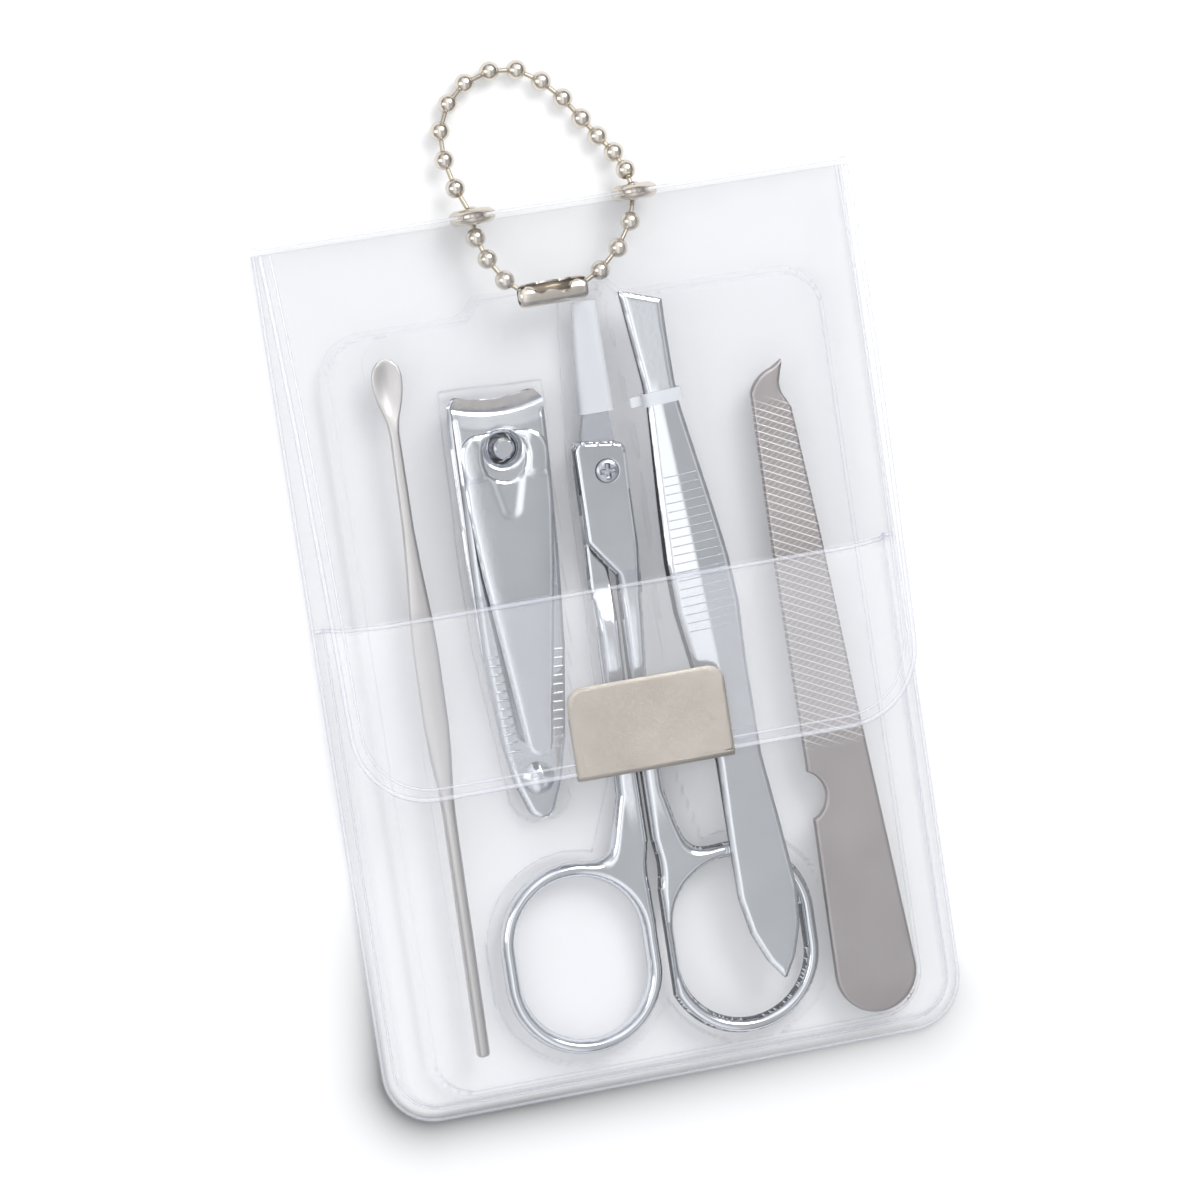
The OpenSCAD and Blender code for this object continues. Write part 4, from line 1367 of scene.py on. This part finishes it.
@dataclass
class Clipper:
    """Nail clipper: two leaves that meet at the jaw, and the lever stowed on top."""

    length: float = 52.0
    half: float = 5.6
    height: float = 5.6
    post_u: float = 45.5
    lever_top: float = 47.5
    lever_l: float = 39.3
    hole_r: float = 2.65
    jaw_r: float = 16.0
    jaw_off: float = 15.4

    def leaf_outline(self) -> Outline:
        """Outline that both leaves share, with the hollow cutting edge.

        Returns:
            A function of x and y, negative inside.
        """
        h, end = self.half, self.length
        side = [(2.9, 4.5), (3.9, 9.5), (h - 0.6, 21), (h - 0.2, 32), (h, end - 4), (h, end - 1), (h - 0.7, end)]
        body = polygon([*arc(0, 1.7, 1.7, 200, 340), *side, *[(-x, y) for x, y in side[::-1]]])
        return cut(body, slot((0, end + self.jaw_off), self.jaw_r, (0, end + self.jaw_off + 0.1), self.jaw_r))

    def build(self) -> None:
        """Makes and mounts the leaves, the lever and the grip lines."""
        end, top, shape = self.length, self.height, self.leaf_outline()
        box = (-self.half, 0, self.half, end)

        def jaw(x: Array, y: Array) -> Array:
            """How far the upper leaf falls: its ground cutting edge, and the sink round the post.

            Args:
                x, y: Places on the leaf.

            Returns:
                The fall at each.
            """
            edge = np.hypot(x, y - end - self.jaw_off) - self.jaw_r
            sink = np.clip((np.hypot(x, y - self.post_u) - 1.75) / 0.85, 0, 1)
            return np.interp(edge, [0, 1.4, 1.7, 3.6], [1.85, 0.46, 0.32, 0]) + 0.5 * (1 - sink)

        lower = Plate(
            cut(shape, disc(0, self.post_u, 1.36)), box,
            lambda x, y, d: np.interp(y, [0, end - 6, end - 3, end - 1.2, end], [1, 1, 1.3, 2.1, 2.1])
            - 0.25 * worn(d, 0.5),
            lambda x, y, d: np.interp(y, [0, end - 6, end - 2.5, end - 0.8, end], [0, 0, 0.4, 1.2, 2.0])
            + 0.1 * worn(d, 0.5), 0.3,
        ).raised("clipper_leaf_lower", CLIPPER_AT, CHROME)
        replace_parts(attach(lower, "tray"), "clipper_lower_leaf")
        # The upper leaf's walls and under side take painted shade, where the gap between the leaves falls in shade.
        upper = Plate(
            cut(shape, disc(0, self.post_u, 1.75)), box,
            lambda x, y, d: np.interp(y, [0, 7.4, 41.5, end], [2, 2, top, top]) - jaw(x, y)
            - 0.3 * worn(d, 0.6) * (y < end - 2.4),
            lambda x, y, d: np.minimum(
                np.interp(y, [0, 5, 41.5, end - 3.4, end - 1.4, end - 0.9, end], [1, 1, 4.6, 4.6, 4.2, 3.7, 3.7]),
                np.interp(y, [0, 7.4, 41.5, end], [2, 2, top, top]) - jaw(x, y) - 0.35,
            ), 0.24,
        ).raised("clipper_leaf_upper", CLIPPER_AT, CHROME, 38, PAINTED_SHADE)
        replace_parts(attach(upper, "clipper_upper"), "clipper_upper_leaf")
        self._lever()
        self._grips()

    def _lever(self) -> None:
        """Makes the lever: a bowed bar with two crowned ears beside its hole and the pressed hollow below it."""
        tip, high, h = self.lever_top - self.lever_l, self.lever_top, 5.35
        side = [(h - 1, high - 17), (h - 0.2, high - 9)]
        shape = polygon([
            *arc(0, tip + 1.6, 1.6, 190, 350), *side, *arc(h - 2.6, high - 2.6, 2.6, 0, 80),
            *arc(2.6 - h, high - 2.6, 2.6, 100, 180), *[(-x, y) for x, y in side[::-1]],
        ])
        at = self.post_u - 1.0
        hole = slot((0, at - 0.25), self.hole_r, (0, at + 0.55), self.hole_r)
        pressed = slot((0, at - 2.6), 2.35, (0, at - 6.2), 1.5)

        def crown(x: Array, y: Array, d: Array) -> Array:
            """Height of the lever's upper face.

            Args:
                x, y: Places on the lever.
                d: Distance in from its edge.

            Returns:
                The height of each.
            """
            half = np.interp(y, [tip, high - 17, high - 9, high], [1.6, h - 1, h - 0.2, h])
            ears = smooth((y - high + 6.1) / 1.1)
            bow = 0.16 * ((y - tip) / (high - tip)) ** 2
            z = 6.34 + bow - 0.13 * np.clip(np.abs(x) / half, 0, 1) ** 6
            lobe = 1 - np.clip(((np.abs(x) - 3.9) / 2.2) ** 2 + ((y - high + 3) / 3.6) ** 2, 0, 1)
            z = z + ears * (0.06 + 0.22 * smooth(lobe * 1.3)) - 0.11 * smooth(-pressed(x, y))
            collar = np.hypot(x, y - at) - self.hole_r
            return z - 0.14 * (1 - smooth(collar / 0.6)) - 0.14 * worn(d, 0.35)

        lever = Plate(
            cut(shape, hole), (-h, tip, h, high), crown, lambda x, y, d: crown(x, y, d) - 0.45, 0.24
        ).raised("clipper_lever_bar", CLIPPER_AT, CHROME)
        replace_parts(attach(lever, "clipper_lever"), "clipper_lever")

    def _grips(self) -> None:
        """Makes the short grip lines on both edges of the upper leaf."""
        points, pairs = [], []
        for u in np.linspace(8.6, 20.4, 12):
            z = float(np.interp(u, [0, 7.4, 41.5], [2, 2, self.height])) - 0.02
            wide = float(np.interp(u, [4.5, 9.5, 21], [2.9, 3.9, 5.0])) - 0.35
            slim = float(np.interp(u, [8.2, 30.5], [1.7, 4.3])) + 0.15
            for side in (-1, 1):
                pairs.append((len(points), len(points) + 1))
                points += [(side * slim, u, z), (side * wide, u, z)]
        grips = BARS.grown("clipper_grips", CLIPPER_AT.out(np.array(points)), pairs, 0.16 * MM, 8, CHROME)
        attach(grips, "clipper_upper")


@dataclass
class Scissors:
    """Scissors: round finger rings that flow into flat shanks, the pivot screw and the sleeve on the points."""

    ring_r: float = 7.9
    bar: float = 1.9
    long: float = 4.2
    screw_r: float = 1.4

    def _handle(self, ring: tuple[float, float], neck: Outline, plate: Outline) -> Outline:
        """Outline of one handle: its ring filleted into its neck, and the plate at the pivot.

        Args:
            ring: Middle of its finger ring.
            neck: Outline of the shank.
            plate: Outline of the plate.

        Returns:
            A function of x and y, negative inside.
        """
        low, high = (ring[0], ring[1] - self.long / 2), (ring[0], ring[1] + self.long / 2)
        outer = slot(low, self.ring_r + self.bar, high, self.ring_r + self.bar)
        inner = slot(low, self.ring_r, high, self.ring_r)
        return cut(union(cut(filleted(outer, neck, 3.4), inner), plate), disc(*PIVOT, 0.96))

    def build(self) -> None:
        """Makes and mounts both handles."""
        rear = cut(self._handle(
            LEFT_RING,
            polygon([
                (-2.3, 66.5), (0.5, 62.3), (-0.1, 40), (-0.1, 30), (-1.3, 24), (-3.2, 20), (-5.6, 27),
                (-4.4, 31.6), (-3.2, 36), (-2.7, 50),
            ]),
            polygon([
                (-2.2, 78.5), (-2, 79.1), (-1.4, 79.4), (3.4, 78.8), (4, 78.5), (4.2, 77.9), (4, 68.2),
                (0.5, 68.2), (0.4, 60), (-2.6, 60), (-2.3, 68),
            ]),
        ), polygon([(-0.06, 0), (-0.06, 40), (0.5, 62.3), (9, 62.3), (9, 0)]))
        front = cut(self._handle(
            RIGHT_RING,
            polygon([
                (3.8, 62), (2.7, 50), (2.6, 36), (3.6, 31.6), (5, 27), (2.4, 20), (0.9, 24), (0.1, 30),
                (0.1, 40), (0.7, 62),
            ]),
            polygon([
                (-2.3, 78.5), (-2.1, 79.1), (-1.5, 79.4), (3.3, 78.8), (3.9, 78.5), (4.1, 77.9), (3.8, 60),
                (0.7, 60), (0.7, 62.7), (-2.4, 67.1),
            ]),
        ), polygon([(0.06, 0), (0.06, 40), (0.7, 62), (-9, 62), (-9, 0)]))
        for name, shape, box, low, flat, body, node in (
            ("scissor_handle_rear", rear, (-20.5, 4.8, 4.4, 79.6), 2.59, 1.59, "tray", "scissor_rear_handle"),
            ("scissor_handle_front", front, (-2.4, 4, 19.3, 79.6), 2.99, 4.25, "scissor_front",
             "scissor_front_handle"),
        ):
            self._forged(name, shape, box, low, flat, body, node)

    @staticmethod
    def _forged(name: str, shape: Outline, box: tuple[float, float, float, float], low: float, flat: float,
                body: str, node: str) -> None:
        """Makes one handle.

        Args:
            name: Name of the piece.
            shape: Its outline.
            box: Its lowest and highest x and y.
            low: Height of the middle of its ring.
            flat: Height of the middle of its plate at the pivot.
            body: The body that it rides on.
            node: The CAD node that it stands for.
        """
        start = 60.0 if flat > low else 56.0

        def middle(y: Array) -> Array:
            """Height of the middle plane."""
            return low + (flat - low) * smooth((y - start) / 7)

        def half(y: Array, d: Array) -> Array:
            """Half the thickness.

            Args:
                y: Places up the handle.
                d: Distance in from its edge.

            Returns:
                Half the thickness at each.
            """
            t = smooth((y - start) / 6)
            return rounded(d, 0.95 - 0.45 * t, 2.6 - 1.4 * t)

        def tip(x: Array, y: Array) -> Array:
            """How the shank's flat is tipped to its left, below the pivot."""
            return 0.08 * np.clip(x - 0.6, -3, 3) * smooth((y - 30) / 6) * smooth((start + 1 - y) / 4)

        # The front handle's walls and under side take painted shade, where it lies over the rear one.
        handle = Plate(
            shape, box, lambda x, y, d: middle(y) + half(y, d) + tip(x, y), lambda x, y, d: middle(y) - half(y, d),
            0.22
        ).raised(name, ON_CASE, CHROME, 45, PAINTED_SHADE if flat > low else None)
        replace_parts(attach(handle, body), node)

    def screw(self) -> None:
        """Makes and mounts the pivot screw, with the cross in its domed head, whose walls and under side take
        painted shade.
        """
        low, high = (corner[2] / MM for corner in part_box("pivot_screw"))
        x0, y0 = PIVOT

        def head(x: Array, y: Array, d: Array) -> Array:
            """Height of the head's face.

            Args:
                x, y: Places on the case.
                d: Distance in from its edge.

            Returns:
                The height of each.
            """
            u, v = np.abs(x - x0), np.abs(y - y0)
            cross = np.minimum(np.maximum(u / 0.2, v / 0.8), np.maximum(v / 0.2, u / 0.8))
            return high - 0.22 * worn(d, 0.6) - 0.4 * np.clip((1.25 - cross) * 5, 0, 1)

        r, shank = self.screw_r, 0.85
        screw = Plate(
            disc(x0, y0, r), (x0 - r, y0 - r, x0 + r, y0 + r), head,
            lambda x, y, d: np.where(np.hypot(x - x0, y - y0) < shank, low, high - 0.5), 0.09,
        ).raised("pivot_screw_cross", ON_CASE, GROUND, 38, PAINTED_SHADE)
        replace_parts(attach(screw, "tray"), "pivot_screw")

    def sleeve(self) -> None:
        """Makes and mounts the clear sleeve on the points."""
        row = [
            Section(82.6, 2.16, 1.2, 1.43, 2.92), Section(83, 2.13, 1.15, 1.44, 2.92),
            Section(90, 1.84, 1.1, 1.67, 2.92), Section(96.1, 1.52, 1.05, 1.9, 2.92),
        ]
        sleeve = hollow("point_sleeve", row, 0.15, ON_CASE, SLEEVE)
        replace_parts(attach(sleeve, "tip_sleeve"), "tip_sleeve")


@dataclass
class Tweezers:
    """Tweezers: two bowed arms, the band that holds them shut, and the grip's cross lines."""

    length: float = 86.6
    thick: float = 0.9

    def outline(self) -> Outline:
        """Outline of one arm.

        Returns:
            A function of x and y, negative inside.
        """
        side = [
            (1.7, 2.6), (3.1, 6.4), (3.7, 11), (3.3, 19), (2.7, 28), (3.2, 40), (3.8, 47), (3.7, 53), (3.1, 60),
            (1.9, 72), (1.9, 75), (2.2, 81),
        ]
        other = [(-x, y) for x, y in side[::-1]]
        return polygon([(0, 0), *side, (2.45, self.length - 2), (-2.45, self.length), *other])

    def gap(self, u: Array) -> Array:
        """Half the gap between the arms.

        Args:
            u: Places along the arms.

        Returns:
            Half the gap at each.
        """
        bow = 1.2 * np.sin(np.pi * np.clip((u - 12) / 68, 0, 1)) ** 2
        return np.where(u < 12, 0, np.where(u > 80, 0.2, bow + 0.2 * (u - 12) / 68))

    def build(self) -> None:
        """Makes and mounts the arms, the grip lines and the band."""
        box = (-3.8, 0, 3.8, self.length)
        shape, thick = self.outline(), self.thick

        def ground(x: Array, y: Array) -> Array:
            """How far the left side of the outer face is ground away, above the tail."""
            side = 0.17 * np.clip(-0.3 - x, 0, 3) * smooth((y - 30) / 8) * smooth((76 - y) / 6)
            return side - 0.065 * np.clip(x, -3, 3) * smooth((y - 70) / 5)

        # The front arm's walls and under side take painted shade, where the gap between the arms falls in shade.
        front = Plate(
            shape, box, lambda x, y, d: self.gap(y) + thick - 0.3 * worn(d, 0.6) - ground(x, y),
            lambda x, y, d: self.gap(y), 0.27,
        ).raised("tweezers_front", TWEEZERS_AT, CHROME, 38, PAINTED_SHADE)
        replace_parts(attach(front, "tweezer_front"), "tweezer_front_arm")
        rear = Plate(
            shape, box, lambda x, y, d: -self.gap(y), lambda x, y, d: -self.gap(y) - thick + 0.3 * worn(d, 0.6), 0.4
        ).raised("tweezers_rear", TWEEZERS_AT, CHROME)
        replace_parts(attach(rear, "tray"), "tweezer_rear_arm")
        points, pairs = [], []
        for u in np.arange(44.5, 64, 1.05):
            z = float(self.gap(np.array([u]))[0]) + thick - 0.02
            half = float(np.interp(u, [40, 47, 53, 60, 72], [3.2, 3.8, 3.7, 3.1, 1.9])) - 0.75
            row = [(-half, u, z - 0.17 * (half - 0.5)), (-0.5, u, z), (half, u, z)]
            pairs += [(len(points), len(points) + 1), (len(points) + 1, len(points) + 2)]
            points += row
        lines = BARS.grown("tweezers_grip", TWEEZERS_AT.out(np.array(points)), pairs, 0.065 * MM, 8, GROUND)
        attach(lines, "tweezer_front")
        row = [Section(u, 2.5, 1.64) for u in (72.2, 72.5, 73.5, 73.8)]
        band = hollow("tweezers_band", row, 0.24, TWEEZERS_AT, SLEEVE, 0.35)
        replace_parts(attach(band, "tweezer_band"), "tweezer_band")
        tab_row = [
            Section(u, w, t, -3.15) for u, w, t in ((72.35, 0.55, 0.12), (72.45, 0.68, 0.24), (73.55, 0.68, 0.24),
                                                    (73.65, 0.55, 0.12))
        ]
        tab = loft("band_tab", tab_row, TWEEZERS_AT, SLEEVE, 0.3)
        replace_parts(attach(tab, "tweezer_band"), "tweezer_band")


@dataclass
class NailFile:
    """Nail file: hooked tip, cut teeth on its face and a round smooth end."""

    length: float = 81.5
    half: float = 5.1

    def outline(self) -> Outline:
        """Outline of the file, with its thumb notch.

        Returns:
            A function of x and y, negative inside.
        """
        h, end = self.half, self.length
        body = polygon([
            *arc(0, h, h, 180, 360, 24), (3, 32.6), (2.4, 40.5), (1.1, 60), (-0.2, end - 6),
            *arc(1.6, end - 3.1, 2.9, 215, 165, 6), (-0.7, end - 0.7), (-0.6, end),
            *arc(-0.9, end - 5, 4.3, 105, 160, 8), (-5.1, 58), (-4.9, 33),
        ])
        return cut(body, disc(-6.2, 28, 3.2))

    def build(self) -> None:
        """Makes and mounts the file."""

        def face(x: Array, y: Array, d: Array) -> Array:
            """Height of the upper face, a touch lower where the teeth are cut.

            Args:
                x, y: Places on the file.
                d: Distance in from its edge.

            Returns:
                The height of each.
            """
            zone = smooth((y - 33.6 - 0.2 * x) / 0.5) * smooth((77 - y) / 1.5) * smooth((d - 0.1) / 0.4)
            return 1.0 - 0.02 * zone - 0.2 * worn(d, 0.35)

        blade = Plate(
            self.outline(), (-5.6, 0, 5.2, self.length), face, lambda x, y, d: 0 * x, 0.16
        ).raised("nail_file_blade", FILE_AT, FILE_STEEL, 60)
        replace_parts(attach(blade, "nail_file"), "nail_file")


# ---- studio ----


@dataclass
class Studio:
    """White floor, soft lamps and the photograph's camera."""

    floor_half: float = 3.0
    floor_z: float = -0.0002
    white: tuple[float, float, float] = (0.79, 0.79, 0.795)
    glow: float = 0.2
    room: float = 0.8
    # darkness of the painted shadow on the floor at its darkest
    shade: float = 0.85
    lens: float = 144.0
    distance: float = 0.5854
    tilt: tuple[float, float] = (-10.5, 6.0)
    roll: float = -8.69

    def _world(self) -> None:
        """Soft room: pale on the left, grey overhead and dark low down, so that polished faces and edges show."""
        world = bpy.data.worlds.new("soft_room")
        bpy.context.scene.world = world
        world.use_nodes = True
        wiring = Wiring(world.node_tree)
        place = wiring.add("ShaderNodeTexCoord").outputs["Generated"]
        split = wiring.add("ShaderNodeSeparateXYZ", {"Vector": place}).outputs
        across = self._ramp(wiring, wiring.spread(split["X"], (-1, 1)), [
            (0.0, 0.6), (0.3, 1.0), (0.42, 1.75), (0.5, 1.35), (0.565, 0.63), (0.66, 0.56), (0.75, 0.9),
            (0.85, 0.55), (1.0, 0.45),
        ])
        upright = self._ramp(wiring, split["Z"], [(0.0, 0.16), (0.2, 0.36), (0.45, 0.82), (0.7, 1.0), (1.0, 1.0)])
        level = wiring.spread(wiring.noise(place, 3.2, 1.5), (0.3, 0.7), (0.75, 1.25))
        soft = wiring.add("ShaderNodeVectorMath", {
            0: wiring.vector("MULTIPLY", across, upright), "Scale": level,
        }, operation="SCALE")
        wiring.feed(world.node_tree.nodes["Background"], {"Color": soft.outputs["Vector"], "Strength": self.room})

    @staticmethod
    def _ramp(wiring: Wiring, share: Socket, stops: Points) -> Socket:
        """A ramp of grey levels, a little cool between its ends.

        Args:
            wiring: The tree.
            share: Where on the ramp to read.
            stops: Place and level of each stop.

        Returns:
            The level read.
        """
        node = wiring.add("ShaderNodeValToRGB", {"Fac": share})
        row = node.color_ramp.elements
        for end, (at, level) in zip((0, 1), (stops[0], stops[-1])):
            row[end].position, row[end].color = at, (level, level, level, 1)
        for at, level in stops[1:-1]:
            row.new(at).color = (level, level * 1.01, level * 1.03, 1)
        return node.outputs["Color"]

    def _floor(self) -> None:
        """White floor that keeps the object's shadow, has a painted shadow outside the case's lower left corner, and
        glows a little for every ray that looks at it.
        """
        mesh = bpy.data.meshes.new("floor")
        corners = [(x * self.floor_half, y * self.floor_half, self.floor_z) for x, y in
                   ((-1, -1), (1, -1), (1, 1), (-1, 1))]
        mesh.from_pydata(corners, [], [(0, 1, 2, 3)])
        floor = bpy.data.objects.new("floor", mesh)
        bpy.context.scene.collection.objects.link(floor)
        mat = bpy.data.materials.new("white_floor")
        mat.use_nodes = True
        wiring = Wiring(mat.node_tree)
        shade, black = self._painted_shadow(wiring), (0, 0, 0, 1)
        path = wiring.add("ShaderNodeLightPath").outputs
        seen = wiring.math("MAXIMUM", path["Is Camera Ray"], path["Is Glossy Ray"])
        looked_at = wiring.math("MAXIMUM", seen, path["Is Transmission Ray"])
        wiring.feed(mat.node_tree.nodes["Principled BSDF"], {
            "Roughness": 0.9, "Specular IOR Level": 0.0,
            "Base Color": wiring.mixed(shade, (*self.white, 1), black),
            "Emission Color": wiring.mixed(shade, (1, 1, 1, 1), black),
            "Emission Strength": wiring.math("MULTIPLY", looked_at, self.glow),
        })
        mesh.materials.append(mat)

    def _painted_shadow(self, wiring: Wiring) -> Socket:
        """A painted shadow on the floor outside the case's lower left corner: the soft shade that the photograph has
        there, painted into the floor's colour and glow.

        Args:
            wiring: The floor's tree.

        Returns:
            How dark it is, from 0 to 1.
        """
        place = wiring.add("ShaderNodeTexCoord").outputs["Object"]
        inner = ((CASE_W / 2 - CORNER_R) * MM, (CASE_H / 2 - CORNER_R) * MM, 0)
        side = wiring.vector("ABSOLUTE", wiring.vector("MULTIPLY", place, (1, 1, 0)))
        past = wiring.vector("MAXIMUM", wiring.vector("SUBTRACT", side, inner))
        outside = wiring.vector("LENGTH", past, result="Value")
        lean = wiring.vector("DOT_PRODUCT", place, (-0.3, -1, 0), "Value")
        shade = self.shade
        for source, start, end, power in ((outside, 5.4, 6.5, 1), (outside, 25, 6, 6), (lean, 34, 60, 1)):
            part = wiring.math("POWER", wiring.spread(source, (start * MM, end * MM)), power)
            shade = wiring.math("MULTIPLY", part, shade)
        return shade

    @staticmethod
    def _lamp(name: str, at: Sequence[float], size: Sequence[float], watts: float) -> None:
        """A rectangular soft lamp aimed at the case.

        Args:
            name: Name of the lamp.
            at: Its place in metres.
            size: Its width and height in metres.
            watts: Its power.
        """
        lamp = bpy.data.lights.new(name, "AREA")
        lamp.shape, lamp.size, lamp.size_y, lamp.energy = "RECTANGLE", size[0], size[1], watts
        obj = bpy.data.objects.new(name, lamp)
        obj.location = at
        obj.rotation_euler = (-Vector(at)).to_track_quat("-Z", "Y").to_euler()
        bpy.context.scene.collection.objects.link(obj)

    def _camera(self) -> None:
        """The photograph's camera, found from the case's corners, edges and mouth."""
        back = Vector((*(math.tan(math.radians(t)) for t in self.tilt), 1)).normalized()
        right = Vector((0, 1, 0)).cross(back).normalized()
        head = back.cross(right)
        c, s = math.cos(math.radians(self.roll)), math.sin(math.radians(self.roll))
        axis_x, axis_y = right * c + head * s, head * c - right * s
        data = bpy.data.cameras.new("photo_camera")
        data.lens, data.sensor_width, data.sensor_fit = self.lens, 36, "AUTO"
        data.clip_start, data.clip_end = 0.05, 20
        camera = bpy.data.objects.new("photo_camera", data)
        target = Vector((-1.0, 5.44, 0)) * MM
        turn = Matrix((axis_x, axis_y, back)).transposed().to_4x4()
        camera.matrix_world = Matrix.Translation(target + back * self.distance) @ turn
        bpy.context.scene.collection.objects.link(camera)
        bpy.context.scene.camera = camera

    def build(self) -> None:
        """Sets up the whole studio."""
        self._world()
        self._floor()
        self._camera()
        self._lamp("key_lamp", (0.28, 0.42, 0.55), (0.4, 0.4), 3.0)
        self._lamp("side_lamp", (-0.5, 0.1, 0.35), (0.25, 0.5), 0.7)
        scene = bpy.context.scene
        scene.view_settings.view_transform = "Standard"
        scene.cycles.transparent_max_bounces = 48  # every film is two faces, and many lie in a row
        LOG.info("studio ready")


CAD_FINISH = {
    "clipper_post": CHROME, "clipper_rivet": CHROME, "scissor_rear_blade": GROUND, "scissor_front_blade": GROUND,
}


def dress_cad() -> None:
    """Gives each CAD node that stays in sight its finish."""
    for node, finish in CAD_FINISH.items():
        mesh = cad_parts[node].data
        mesh.materials.clear()
        mesh.materials.append(finish.build())
        LOG.info("%s dressed in %s", node, finish.name)


def main() -> None:
    """Builds every piece in order."""
    logging.basicConfig(level=logging.INFO, format="%(name)s: %(message)s")
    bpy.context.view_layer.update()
    dress_cad()
    VinylCase().build()
    Tray().build()
    BeadChain().build()
    Connector().build()
    Eyelets().build()
    Clasp().build()
    EarPick().build()
    Clipper().build()
    scissors = Scissors()
    scissors.build()
    scissors.screw()
    scissors.sleeve()
    Tweezers().build()
    NailFile().build()
    Studio().build()


if __name__ == "__main__":
    main()
